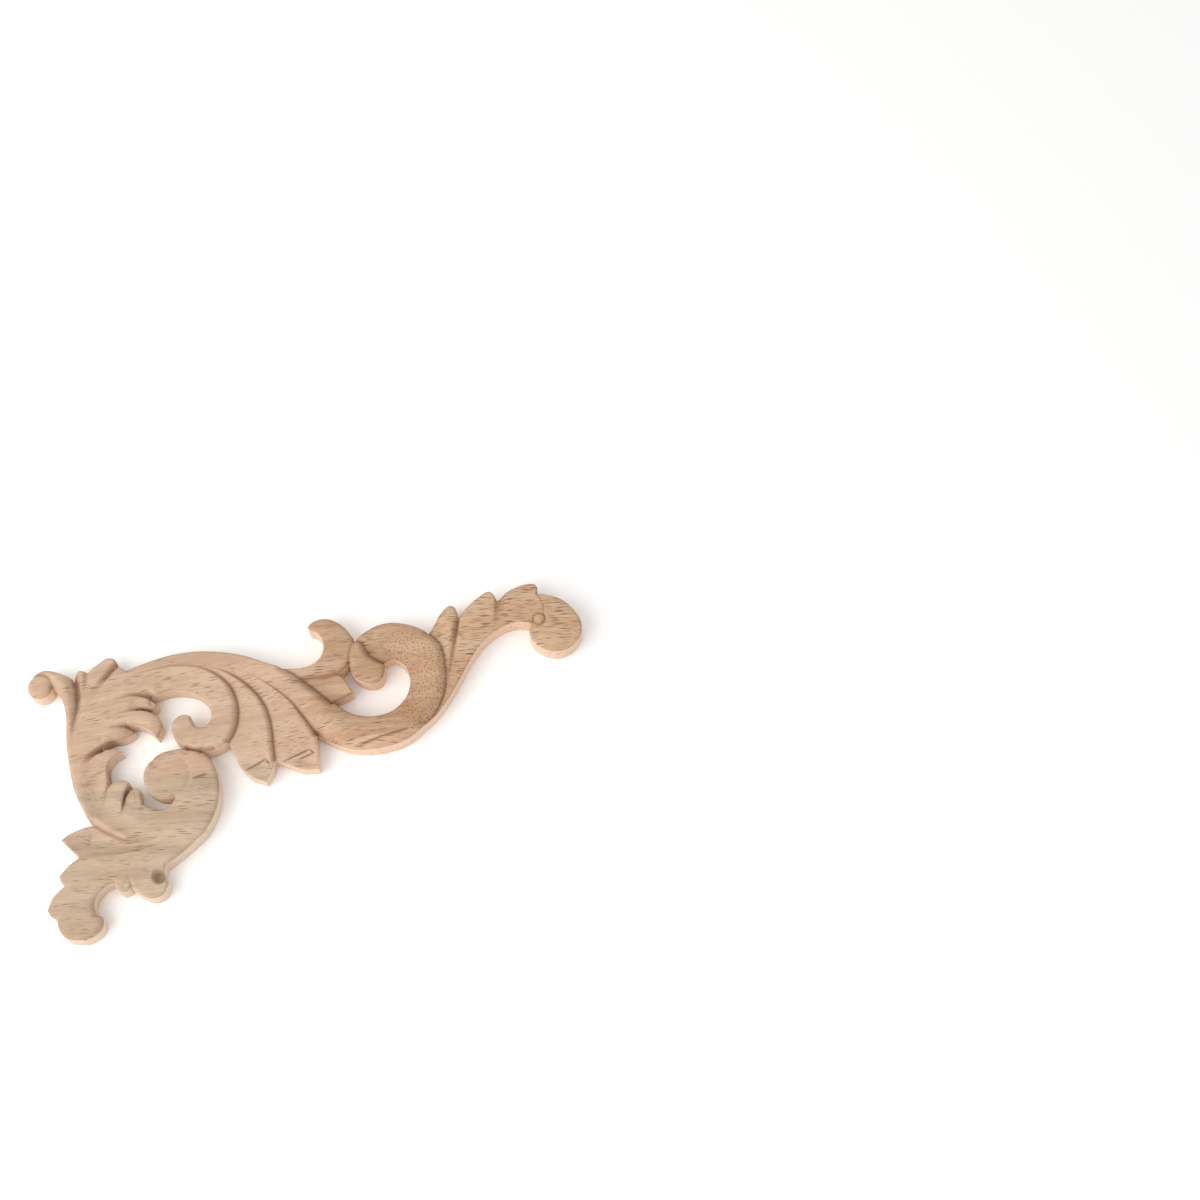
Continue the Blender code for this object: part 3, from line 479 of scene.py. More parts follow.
@dataclass(frozen=True)
class LongArm(FormGroup):
    """The stem that leaves the long scroll for the end ball, with its leaf."""

    end_ball: Form = Form(
        path([(101, 17), (105, 23), (108.5, 25), (112.5, 23.9), (116.5, 21.6), (120, 17.3), (122, 12.3),
              (121.8, 8), (119.6, 4.6), (116, 2.3), (111.8, 1.7), (107.5, 3.3), (104.2, 6.4), (102.9, 10.4),
              (104.3, 14.3)]),
        None,
        (8.9, 9.4, 6.5),
        roll=(1.0, 0.8),
    )
    stem: Form = Form(
        path([(56, -14), (60, 0), (63, 10), (70, 15), (78.7, 22.1)], [(83, 25.6), (87.5, 28.3), (91.3, 29.5),
              (92.6, 28.2), (93.7, 25.8)], [(98.5, 28.2), (104.5, 29.6), (108.2, 29), (109, 27.3),
              (108.5, 25)]),
        path([(57, -17.5), (63, -14.2), (69, -8.8), (75, -1.5), (81, 6.2), (87, 11.7), (93, 14.8),
              (99, 15.8), (104.3, 14.3)], [(107.6, 14.5), (109.7, 18), (109.6, 22), (108.5, 25)]),
        ((0, 6.8, 7.2, 7.6), (0.3, 7.2, 7.9, 8.2), (0.5, 8.3, 8.6, 8.6), (0.7, 9.1, 9.1, 9.1),
         (1, 9.2, 9.2, 9.2)),
        step=0.9, groove=0.25,
    )
    stem_leaf: Form = Form(
        path([(62, 6), (64, 14), (66.8, 18.2)], [(69.2, 21), (72.3, 25), (76, 27.5), (77.8, 26.6),
              (78.7, 22.1)]),
        path([(70, -5), (72.2, 3), (74.6, 9.5), (76.8, 16), (78.7, 22.1)]),
        ((0, 6.8, 7.4, 8.0), (0.5, 6.6, 7.8, 9.0), (0.85, 7.6, 8.7, 9.4), (1, 8.0, 8.6, 9.0)),
        fade=9.0, step=2.2, groove=0.2,
    )
    end_eye: Form = Form(
        ring((107.3, 15.2, 2.2)),
        None,
        (9.0, 9.9, 1.6),
        roll=(0.6, 0.5), step=0.7,
    )


@dataclass(frozen=True)
class Middle(FormGroup):
    """The long scroll with its eye, the hook, the small leaf and the two fan leaves."""

    scroll_leaf: Form = Form(
        path([(14, 13), (22, 10), (30, 10), (33, 8.2), (35.4, 4), (36.4, 1)]),
        path([(14, 8), (21, 3), (27, -1.5), (29.5, -0.6), (33, 0), (36.4, 1)]),
        ((0, 7.4, 7.2, 6.6), (0.5, 7.4, 7.2, 6.2), (0.8, 7.6, 7.6, 7.0), (1, 7.8, 7.8, 7.6)),
        roll=(0.6, 0.5),
    )
    hook: Form = Form(
        path([(6, 18), (13, 14.9), (20.5, 13.6), (24.4, 14.4), (27.4, 16.7), (28.8, 20.3), (28.4, 24),
              (26.6, 26.7), (24.9, 27.6), (24.2, 28.8)]),
        path([(8, 12), (16, 10.4), (24, 9.2), (30, 9), (34.4, 10.4), (37.4, 13.4), (39.4, 17), (40, 20.4),
              (38.6, 24), (35.8, 28.1), (32, 30.7), (28.5, 31.2), (25.4, 30.3), (24.2, 28.8)]),
        ((0, 7.8, 7.8, 7.8), (0.3, 8.6, 8.5, 8.4), (0.55, 9.2, 9.3, 8.6), (0.8, 9.2, 9.4, 8.8),
         (1, 8.9, 9.0, 8.9)),
        roll=(0.7, 0.5), outer_roll=(1.8, 1.2), step=1.2, groove=0.2,
    )
    long_scroll: Form = Form(
        path([(-62, 22), (-52, 24.2), (-43, 25.3), (-34, 27), (-25, 28), (-16, 27.3), (-8, 25.3), (0, 22.2),
              (7, 18.2), (13, 14.8), (18, 10.5), (24, 3.8), (30.3, -3.6), (36, -8.2), (43, -10.1),
              (49.5, -9.1), (54.8, -5), (57.3, 0.8), (56.6, 7.5), (52.8, 11.3), (48.8, 10.5), (45, 11)]),
        path([(-62, 8), (-45, 10), (-30, 15), (-15, 12), (0, 5), (12, -3), (21.2, -11.7), (27, -16.3),
              (33, -19.8), (40, -21.4), (47, -21.5), (54, -19.8), (60, -16), (65.5, -11), (69.3, -4),
              (70.8, 4), (70.2, 13), (66.8, 18.2), (61, 22.7), (52, 25.3), (45, 23.8), (40.2, 20.3),
              (40, 15), (42, 11)]),
        ((0, 8.4, 9.2, 9.0), (0.12, 8.6, 9.6, 9.4), (0.25, 8.8, 9.6, 8.6), (0.36, 9.6, 8.8, 6.6),
         (0.46, 9.8, 9.0, 7.4), (0.54, 9.6, 10.6, 10.0), (0.64, 9.8, CROWN, 10.2), (0.76, 9.9, 11.2, 9.8),
         (0.86, 8.8, 10.0, 9.4), (0.93, 6.8, 8.2, 8.8), (1, 5.8, 6.8, 8.4)),
        outer_roll=SCROLL_ROLL, step=1.7, groove=0.25,
    )
    scroll_eye: Form = Form(
        path([(40, 20.3), (42.4, 19.5), (43.3, 17), (44.6, 14), (46.6, 12), (49, 10.4)], [(49.2, 7.8),
              (47.6, 4.2), (45, 2.9), (41.6, 3.6), (38.4, 6.2), (36.9, 9.8), (36.9, 13.6), (38.3, 17.6),
              (40, 20.3)])[:-1],
        None,
        (8.9, 9.5, 3.4),
        roll=(1.2, 0.9),
    )
    fan_leaf_right: Form = Form(
        path([(-11, 18.5), (-5, 14), (-1, 6), (1, -4), (2, -13), (5.3, -18.5)], [(9, -20.5), (14, -23.5),
              (20, -24.5)]),
        path([(-11, 21.5), (-4.5, 18.4), (3, 13.6), (9.5, 7.5), (14.2, 1.8), (17.6, -4.6), (21.2, -11.8)],
              [(20.9, -16), (20, -24.5)]),
        ((0, 8.9, 9.2, 9.3), (0.25, 7.8, 8.0, 9.2), (0.6, 7.4, 7.7, 9.4), (0.86, 7.4, 8.0, 9.2),
         (1, 6.4, 6.6, 7.2)),
        fade=6.0, roll=(0.7, 0.5), step=1.35, groove=0.25,
    )
    fan_leaf_left: Form = Form(
        path([(-19, 19), (-13, 14), (-9, 2), (-10, -6), (-9.9, -9.3)], [(-8, -16), (-4.2, -22.3),
              (1, -25.6)]),
        path([(-15.5, 21.5), (-8, 18.2), (-1.8, 13), (2.5, 7.3), (5.1, 1), (5.9, -6), (5.6, -13),
              (5.3, -18.5)], [(4, -21.7), (1, -25.6)]),
        ((0, 9.0, 9.3, 9.4), (0.25, 8.0, 8.3, 9.5), (0.6, 7.4, 7.9, 9.6), (0.86, 7.4, 8.0, 9.4),
         (1, 6.4, 6.6, 7.2)),
        fade=6.0, roll=(0.7, 0.5), step=1.35, groove=0.25,
    )


@dataclass(frozen=True)
class ShortArm(FormGroup):
    """The trunk that winds into the big spiral, the foot with its small curls and the lower leaf."""

    trunk: Form = Form(
        path([(-44, 22), (-46, 12), (-52, 4), (-54.5, -2), (-54.3, -8), (-53.9, -14), (-52.3, -19.5),
              (-48.5, -23.6), (-43.4, -25.4), (-40, -27.7), (-36.3, -29.2), (-32.8, -28), (-31, -26)],
              [(-31.5, -22), (-33.5, -18)]),
        path([(-63, 22), (-65.2, 12), (-66.3, 3), (-66.4, -7), (-65.6, -16), (-63.4, -23.6), (-60.9, -29.7),
              (-55.8, -34.2), (-49, -38.4), (-41, -42.6), (-33.5, -44.8), (-27.5, -43.4), (-22, -39.4),
              (-17.8, -33.5), (-15.4, -26), (-15.9, -17.3), (-18.8, -11.6), (-23, -8.8), (-29, -7.9),
              (-35, -8.8), (-39.5, -13), (-40.9, -18)]),
        ((0, 9.0, 9.0, 8.8), (0.12, 8.9, 9.2, 8.8), (0.28, 8.4, 9.1, 9.0), (0.4, 7.7, 7.6, 9.5),
         (0.5, 7.7, 7.7, 9.8), (0.6, 8.2, 9.2, 9.6), (0.74, 8.7, 10.1, 9.3), (0.88, 9.0, 9.6, 8.8),
         (1, 8.8, 9.0, 8.6)),
        outer_roll=(1.5, 1.0), step=3.4, groove=0.1,
    )
    foot: Form = Form(
        path([(-22, -39.8), (-25, -42), (-30, -45.2), (-36, -48.4), (-44, -50.6), (-52, -51.5),
              (-58.5, -52.4), (-62.6, -55.6), (-63.6, -59), (-62.6, -62.3)], [(-61.2, -63), (-61.1, -66),
              (-63.3, -68.6), (-68, -70.2)]),
        path([(-24, -35), (-32, -38.4), (-42, -38.6), (-52, -37.8), (-60, -39), (-66.5, -40.8)],
              [(-70.4, -43), (-74, -46)], [(-73.7, -48), (-72.8, -50)], [(-77, -53.1), (-79.4, -57.3)],
              [(-78.3, -59.7), (-76.4, -61.2)], [(-76.2, -64.5), (-74, -68.3), (-68, -70.2)]),
        ((0, 9.2, 9.5, 9.5), (0.3, 9.0, 9.3, 9.4), (0.55, 8.8, 9.2, 8.9), (0.75, 8.2, 9.1, 8.6),
         (0.9, 8.2, 8.9, 8.6), (1, 8.6, 8.7, 8.5)),
        roll=(1.9, 1.2), outer_roll=(0.8, 0.6), fade=16.0, step=2.0, groove=0.0,
    )
    foot_lobe: Form = Form(
        path([(-58, -47), (-56, -51.8), (-55.1, -54.2), (-53.2, -55.9), (-51.6, -55.6)]),
        path([(-48.4, -47), (-49.6, -51), (-50.3, -54.6), (-51.6, -55.6)]),
        ((0, 9.0, 9.0, 9.0), (0.6, 8.5, 8.7, 8.0), (1, 8.0, 8.1, 7.6)),
        fade=5.0, roll=(0.6, 0.5), groove=0.0, step=1.8,
    )
    foot_curl: Form = Form(
        path([(-50.2, -46.5), (-50.3, -51), (-49.9, -55.1)], [(-47.6, -57.5), (-43.8, -60), (-39.6, -59.4),
              (-37.2, -56)]),
        path([(-34.5, -45.8), (-37.4, -49), (-38.4, -52.6), (-37.2, -56)]),
        ((0, 9.0, 9.0, 8.8), (0.45, 8.4, 8.0, 8.4), (0.7, 8.6, 8.2, 8.4), (1, 8.6, 8.5, 8.4)),
        fade=5.0, roll=(1.0, 0.8), groove=0.0, step=1.8,
    )
    lower_leaf: Form = Form(
        path([(-29, -37), (-33, -39.6), (-38, -41.6), (-46, -42.6), (-53, -42.7), (-60, -42),
              (-66.4, -40.9)], [(-69.6, -36.6), (-72.2, -32.9)]),
        path([(-33, -36.4), (-38, -38.4), (-43, -39.2), (-49, -38.4), (-55.8, -34.2), (-61, -30),
              (-65, -30.2), (-69, -31.2), (-72.2, -32.9)]),
        ((0, 9.5, 9.4, 9.4), (0.35, 9.4, 8.0, 8.4), (0.68, 9.2, 6.8, 7.4), (0.88, 8.8, 7.4, 7.4),
         (1, 8.2, 7.9, 7.8)),
        fade=10.0, roll=(0.7, 0.6), step=2.4, groove=0.0,
    )
    spiral_eye: Form = Form(
        ring((-33.1, -17.2, 8.0)),
        None,
        (9.1, 9.5, 6.0),
        step=2.2, groove=0.0,
    )


@dataclass(frozen=True)
class Acanthus(FormGroup):
    """The leaf lobes that reach from the trunk into the big opening."""

    lobe_side: Form = Form(
        path([(-62.5, -9), (-60, -6.2), (-57, -4.3), (-53, -3.2), (-49.6, -3.7), (-47.5, -4.7)]),
        path([(-59, -23), (-55.7, -19.5), (-53.7, -16.4), (-53.6, -12), (-53.3, -9.3), (-51.3, -6.4),
              (-47.5, -4.7)]),
        ((0, 8.8, 8.7, 8.4), (0.4, 8.8, 8.5, 8.4), (0.75, 8.5, 8.0, 8.1), (1, 7.6, 7.2, 7.2)),
        fade=9.0, step=1.2, groove=0.0, roll=(0.6, 0.5),
    )
    lobe_low_right: Form = Form(
        path([(-50.5, -29), (-49.6, -24.6), (-48.4, -21.3), (-46.2, -19), (-44, -18.9), (-43.1, -20)]),
        path([(-42.5, -30), (-42.8, -25.8), (-43.3, -22.3), (-43.1, -20)]),
        ((0, 7.8, 7.8, 7.8), (0.5, 6.4, 7.7, 7.9), (0.8, 6.1, 7.4, 7.7), (1, 6.4, 7.0, 7.3)),
        fade=6.0, step=0.9, groove=0.0, roll=(0.35, 0.35),
    )
    lobe_low_left: Form = Form(
        path([(-57, -26), (-55.6, -21), (-53.9, -17.2), (-51, -15.6), (-48, -15.7), (-46.4, -16.8)]),
        path([(-50.4, -27), (-49.6, -23), (-48.2, -19.4), (-46.4, -16.8)]),
        ((0, 8.0, 8.0, 7.8), (0.5, 8.2, 8.3, 8.3), (0.8, 8.0, 8.3, 8.2), (1, 7.7, 7.9, 7.7)),
        fade=8.0, step=0.8, groove=0.1, roll=(0.35, 0.35),
    )
    lobe_top_3: Form = Form(
        path([(-58, 7), (-52, 6.4), (-46, 5.4), (-42.4, 2.2)]),
        path([(-58, -3.4), (-54.8, -1.2), (-51, 0), (-47, 0), (-43.6, 1), (-42.4, 2.2)]),
        ((0, 9.1, 9.2, 9.0), (0.5, 8.8, 9.2, 8.4), (0.8, 7.8, 8.4, 7.4), (1, 6.4, 6.6, 6.4)),
        fade=8.0, groove=0.0, roll=(0.9, 0.7),
    )
    lobe_top_1: Form = Form(
        path([(-54, 17), (-46, 17), (-38, 16.4), (-34.6, 13.4), (-33.1, 10.3)]),
        path([(-54, 8.4), (-46, 9), (-39, 10), (-35.4, 8.9), (-33.1, 10.3)]),
        ((0, 9.1, 9.1, 9.1), (0.5, 8.8, 9.0, 8.6), (0.8, 7.6, 8.4, 7.2), (1, 6.2, 6.4, 6.2)),
        fade=8.0, groove=0.0, roll=(0.7, 0.6),
    )
    lobe_top_2: Form = Form(
        path([(-56, 8.4), (-49, 9.6), (-42, 10.2), (-37, 8.8), (-33.6, 6), (-32.3, 2.4), (-34.8, -1.6)]),
        path([(-56, 5), (-50, 4.8), (-44.6, 4.6), (-40.4, 3.9), (-37.2, 1.6), (-34.8, -1.6)]),
        ((0, 9.1, 9.2, 9.1), (0.45, 8.9, 9.4, 8.5), (0.7, 8.0, 9.3, 8.2), (0.88, 6.8, 8.3, 7.8),
         (1, 5.8, 6.2, 6.0)),
        fade=8.0, roll=(0.7, 0.6), groove=0.0,
    )


@dataclass(frozen=True)
class Corner(FormGroup):
    """The curl at the corner, the leaf cluster beside it and the inner curl."""

    cluster_leaf: Form = Form(
        path([(-62.4, 12), (-61.6, 18), (-61.6, 24), (-60.9, 27.4), (-59.2, 28.6), (-56.3, 27.6)],
              [(-52.6, 29.6), (-48.8, 31.5), (-46.8, 31.2)]),
        path([(-56, 11), (-52, 17), (-48.6, 22.6), (-45.8, 27), (-45.6, 29.8), (-46.8, 31.2)]),
        ((0, 9.0, 9.1, 9.0), (0.4, 8.2, 8.8, 8.5), (0.75, 8.4, 8.5, 7.7), (1, 8.2, 8.3, 8.0)),
        fade=9.0, groove=0.0, step=2.2, roll=(0.7, 0.6),
    )
    cluster_lip: Form = Form(
        path([(-57, 14), (-53, 20), (-50, 24.2), (-46.8, 27.3), (-44.2, 27), (-42.2, 25.2)]),
        path([(-54, 12), (-49, 19), (-45.6, 22.6), (-42.2, 25.2)]),
        ((0, 9.0, 9.0, 9.0), (0.6, 8.2, 8.9, 9.2), (1, 7.6, 8.2, 8.6)),
        fade=9.0, groove=0.1, roll=(0.7, 0.6),
    )
    inner_curl: Form = Form(
        path([(-54, 21), (-42, 22), (-31, 23.6), (-22, 22.9), (-15, 20.4), (-9.2, 15.8), (-5.8, 10.4),
              (-4.8, 3), (-6.4, -3.9), (-9.9, -8.6), (-14.5, -10.5), (-19, -10.7), (-24, -8.6),
              (-27.8, -5.6), (-29, -1), (-27.6, 2.9), (-24.3, 4.2), (-21.9, 3.2)]),
        path([(-54, 13.6), (-50, 14.6), (-43, 15.9), (-37, 15), (-33.4, 14), (-28.5, 14.5), (-22.5, 13.5),
              (-17.5, 10.4), (-14.8, 5.6), (-14.7, 0.9), (-17.4, -1.8), (-20.6, -1.2), (-21.9, 1.2),
              (-21.9, 3.2)]),
        ((0, 9.4, 9.4, 9.2), (0.2, 9.7, 9.6, 9.2), (0.4, 10.0, 9.5, 9.1), (0.6, 10.0, 9.6, 9.1),
         (0.8, 9.5, 9.5, 9.2), (1, 9.3, 9.3, 9.2)),
        fade=30.0, groove=0.25,
    )
    corner_curl: Form = Form(
        path([(-66.3, -1), (-65.7, 8), (-65.5, 13), (-66, 17.5), (-67.9, 22.6), (-69.8, 24.8),
              (-71.5, 25.4)]),
        path([(-64.6, -1), (-63.2, 8), (-61.6, 14), (-61, 20), (-62, 26.3)], [(-65, 28.6), (-71.5, 31.1),
              (-76, 29), (-77.9, 25)]),
        ((0, 8.6, 8.8, 8.8), (0.3, 8.8, 9.5, 8.2), (0.5, 9.0, 9.7, 7.4), (0.68, 8.4, 9.8, 8.0),
         (0.85, 7.2, 9.2, 8.8), (1, 7.2, 8.2, 8.6)),
        fade=12.0, step=1.4, groove=0.0,
    )
    corner_ball: Form = Form(
        ring((-73.6, 25.3, 4.4)),
        None,
        (8.4, 9.3, 3.2),
        roll=(1.2, 1.0), step=1.0, groove=0.1,
    )


@dataclass
class Plan:
    """The flat triangulation of the carving, as seen from above.

    Args:
        forms: Every form, from the lowest to the one over all others.
        spacing: The distance between mesh points.
        marks: The straight marks as (start, end), which have points at half the spacing beside them.
        mark_reach: How far from a mark those finer points go.
        smallest: Regions under this area join the region beside them.
        corner: A border that turns by more than this keeps a point there.
        clear: How far from a border the grid begins, as a share of the spacing.
    """

    forms: list[Form]
    spacing: float = 0.44
    marks: tuple = ()
    mark_reach: float = 0.9
    smallest: float = 0.8
    corner: float = math.radians(34)
    clear: float = 0.6
    verts: np.ndarray = field(init=False)
    triangles: np.ndarray = field(init=False)
    label: np.ndarray = field(init=False)

    def __post_init__(self) -> None:
        """Lay out the mesh and find the form on top of each triangle."""
        points, edges = self.mesh_points(self.border_lines(*self.top_labels()))
        verts, triangles, _, out_edges, origins = triangulate(points, edges, [])
        walls = {(min(edge), max(edge)) for edge, origin in zip(out_edges, origins) if origin}
        sides = neighbours(triangles)
        region, count = grow_regions(len(triangles), sides, lambda edge, a, b: edge not in walls)
        size = np.abs(signed_areas(verts, triangles))
        middles = verts[triangles].mean(1)
        top = np.full(len(triangles), -1)
        for number, form in enumerate(self.forms):
            top[inside(middles, form.outline())] = number
        votes = np.zeros((count, len(self.forms) + 1))
        np.add.at(votes, (region, top + 1), size)
        label = votes.argmax(1)[region] - 1
        kept = label >= 0
        self.verts, self.triangles, self.label = verts, triangles[kept], label[kept]

    def top_labels(self) -> tuple[np.ndarray, np.ndarray, dict]:
        """Cut the plan along every form's outline.

        Returns:
            The points, the form on top of each triangle, or -1 outside, and each edge's triangles.
        """
        points: list = []
        faces: list = []
        for form in self.forms:
            outline = form.outline()
            keep = np.linalg.norm(outline - np.roll(outline, 1, axis=0), axis=1) > 10 * ONE_POINT
            outline = outline[keep]
            faces.append(list(range(len(points), len(points) + len(outline))))
            points.extend(outline.tolist())
        verts, triangles, over, _, _ = triangulate(points, [], faces)
        label = np.array([max(owners) if owners else -1 for owners in over])
        sides = neighbours(triangles)
        size = np.abs(signed_areas(verts, triangles))
        while True:
            region, count = grow_regions(len(triangles), sides, lambda _, a, b: label[a] == label[b])
            total = np.bincount(region, size, count)
            small = np.flatnonzero(total < self.smallest)
            if not len(small):
                return verts, label, sides
            worst = small[total[small].argmin()]
            shared: dict = {}
            for (a, b), pair in sides.items():
                if len(pair) == 2 and (region[pair[0]] == worst) != (region[pair[1]] == worst):
                    other = pair[1] if region[pair[0]] == worst else pair[0]
                    length = float(np.linalg.norm(verts[a] - verts[b]))
                    shared[label[other]] = shared.get(label[other], 0.0) + length
            label[region == worst] = max(shared, key=shared.get)

    def border_lines(self, verts: np.ndarray, label: np.ndarray, sides: dict) -> list[np.ndarray]:
        """Follow the lines between regions, cut where three meet and at corners.

        Args:
            verts: The points.
            label: The form on top of each triangle.
            sides: Each edge with the triangles on it.

        Returns:
            The points of each line.
        """
        links: dict = {}
        for (a, b), pair in sides.items():
            labels = [label[index] for index in pair] + [-1] * (2 - len(pair))
            if labels[0] != labels[1]:
                links.setdefault(a, []).append(b)
                links.setdefault(b, []).append(a)
        fixed = {v for v, others in links.items() if len(others) != 2}
        for v, others in links.items():
            if v in fixed:
                continue
            came, goes = verts[v] - verts[others[0]], verts[others[1]] - verts[v]
            if abs(math.atan2(came[0] * goes[1] - came[1] * goes[0], came @ goes)) > self.corner:
                fixed.add(v)
        chains, used = [], set()
        for seed in sorted(fixed) + sorted(links):
            for first in links[seed]:
                if (seed, first) in used:
                    continue
                chain = [seed, first]
                used.update({(seed, first), (first, seed)})
                while chain[-1] not in fixed and chain[-1] != seed:
                    following = next(v for v in links[chain[-1]] if v != chain[-2])
                    used.update({(chain[-1], following), (following, chain[-1])})
                    chain.append(following)
                chains.append(verts[chain])
        return chains

    def mesh_points(self, lines: list[np.ndarray]) -> tuple[np.ndarray, list]:
        """Space the borders evenly and fill a grid of triangles between them.

        Args:
            lines: The lines between regions.

        Returns:
            The points of the mesh, and the edges that it has to have.
        """
        points: list = []
        edges: list = []
        index: dict = {}
        for line in lines:
            numbers = []
            for x, y in spaced(line, self.spacing).tolist():
                key = (round(x, 3), round(y, 3))
                if key not in index:
                    index[key] = len(points)
                    points.append((x, y))
                numbers.append(index[key])
            edges.extend((a, b) for a, b in zip(numbers, numbers[1:]) if a != b)
        borders = np.array(points)
        coarse, fine = (self.grid(borders, size) for size in (self.spacing, self.spacing / 2))
        grid = np.vstack([coarse[~self.by_mark(coarse)], fine[self.by_mark(fine)]])
        covered = np.zeros(len(grid), bool)
        for form in self.forms:
            covered |= inside(grid, form.outline())
        grid = grid[covered]
        away, _ = SegmentIndex(borders, np.array(edges)).distance(grid)
        return np.vstack([borders, grid[away > self.clear * self.spacing]]), edges

    def grid(self, borders: np.ndarray, spacing: float) -> np.ndarray:
        """Lay a grid of even triangles.

        Args:
            borders: The points whose box it covers.
            spacing: The distance between its points.

        Returns:
            The grid's points.
        """
        low, high = borders.min(0), borders.max(0)
        height = spacing * math.sqrt(3) / 2
        rows, columns = (math.ceil(size) for size in ((high - low)[::-1] / (height, spacing)))
        row, column = (each.ravel() for each in np.mgrid[0:rows, 0:columns])
        return np.column_stack([low[0] + (column + row % 2 / 2) * spacing, low[1] + row * height])

    def by_mark(self, points: np.ndarray) -> np.ndarray:
        """Find the points beside a mark.

        Args:
            points: The points, as rows of x and y.

        Returns:
            Whether each point is beside one.
        """
        close = np.zeros(len(points), bool)
        for mark in self.marks:
            line = np.array(mark)
            low, high = line.min(0) - self.mark_reach, line.max(0) + self.mark_reach
            boxed = np.flatnonzero(((points > low) & (points < high)).all(1))
            distance, _, _ = nearest(points[boxed], line)
            close[boxed[distance < self.mark_reach]] = True
        return close


@dataclass(frozen=True, eq=False)
class Gouge:
    """A hollow cut along a line.

    Args:
        line: The line from its deep end.
        reach: How far it reaches to the line's left and right.
        depth: How deep it is at the start and at the end.
    """

    line: np.ndarray
    reach: tuple[float, float]
    depth: tuple[float, float]

    def depth_at(self, points: np.ndarray) -> np.ndarray:
        """How deep the hollow is.

        Args:
            points: The points, as rows of x and y.

        Returns:
            The depth at each point.
        """
        low, high = self.line.min(0) - max(self.reach), self.line.max(0) + max(self.reach)
        close = np.flatnonzero(((points > low) & (points < high)).all(1))
        distance, along, side = nearest(points[close], self.line)
        width = np.where(side > 0, self.reach[0], self.reach[1])
        deep = np.zeros(len(points))
        deep[close] = (self.depth[0] + (self.depth[1] - self.depth[0]) * along) * rise(1 - distance / width)
        return deep


@dataclass(frozen=True)
class ToolCut:
    """One straight cut of a knife or chisel, deepest in the middle of its length.

    Args:
        start: Where it starts.
        end: Where it ends.
        width: How wide its gentle side is.
        depth: How deep it is.
        steep: How wide its steep side is, as a share of the gentle one.
    """

    start: tuple[float, float]
    end: tuple[float, float]
    width: float
    depth: float
    steep: float = 0.35

    def depth_at(self, points: np.ndarray) -> np.ndarray:
        """How deep the cut is: steep on its left, gentle on its right.

        Args:
            points: The points, as rows of x and y.

        Returns:
            The depth at each point.
        """
        start, run = np.array(self.start), np.subtract(self.end, self.start)
        length = np.linalg.norm(run)
        gap = points - start
        along = gap @ run / length ** 2
        across = (gap[:, 0] * run[1] - gap[:, 1] * run[0]) / length
        reach = np.where(across > 0, self.width, self.steep * self.width)
        taper = np.clip(4 * along * (1 - along), 0.0, 1.0) ** 0.5
        return self.depth * taper * np.clip(1 - np.abs(across) / reach, 0.0, 1.0)


@dataclass(frozen=True)
class CarverCuts:
    """The cuts over the forms: hollows that part them, and the knife and chisel marks near the glue joint.

    Args:
        gouges: The hollow cuts.
        tool_cuts: The straight marks.
    """

    gouges: tuple[Gouge, ...] = (
        Gouge(smooth([(-50.5, -1.8), (-54.5, -2.4), (-58, -4), (-60.6, -7)]), (1.5, 1.4), (4.6, 0.2)),
        Gouge(smooth([(94, 26.8), (93, 22), (91.6, 16.5)]), (4.0, 1.4), (2.1, 0.0)),
        Gouge(smooth([(78.4, 21), (76.6, 15.6), (74.4, 9), (72.4, 3.4)]), (1.2, 2.4), (1.5, 0.2)),
        Gouge(smooth([(-56.2, 28.2), (-57.2, 23.5), (-58.6, 18)]), (1.5, 1.5), (1.2, 0.0)),
        Gouge(smooth([(-61.2, 27), (-60.6, 20), (-61.4, 13), (-63, 6)]), (2.2, 1.5), (2.2, 0.0)),
        Gouge(smooth([(-45.6, 28.6), (-48.6, 25.4), (-52.5, 21.8), (-56, 18)]), (1.5, 1.7), (2.2, 0.0)),
        Gouge(smooth([(-33.2, 7.2), (-37, 9.1), (-41.5, 9.9), (-47, 9.5)]), (1.1, 1.0), (2.6, 0.0)),
        Gouge(smooth([(-40.8, 0.9), (-43.5, 3.6), (-47.5, 4.9), (-50.5, 5)]), (1.1, 1.0), (2.6, 0.0)),
        Gouge(smooth([(-32.8, 11.6), (-37, 14.4), (-42, 15.8), (-47.5, 15.3)]), (1.1, 1.3), (2.4, 0.0)),
        Gouge(smooth([(-15.4, -10.4), (-19, -10.4), (-23.8, -8.9), (-28.4, -6.6)]), (0.9, 1.1), (1.8, 1.2)),
    )
    tool_cuts: tuple[ToolCut, ...] = (
        ToolCut((-24.0, -20.2), (-18.6, -19.4), 1.2, 0.35),
        ToolCut((-5.8, -20.4), (2.6, -17.6), 0.62, 0.45),
        ToolCut((2.2, -17.9), (3.6, -20.2), 0.62, 0.35),
        ToolCut((8.3, -19.6), (18.4, -17.0), 0.62, 0.45),
        ToolCut((13.4, -20.0), (19.4, -18.6), 0.62, 0.4),
        ToolCut((18.0, -17.2), (19.6, -19.0), 0.62, 0.35),
        ToolCut((35.5, -19.6), (45.0, -18.3), 1.1, 0.35),
        ToolCut((44.0, -18.4), (54.0, -17.3), 1.1, 0.35),
    )


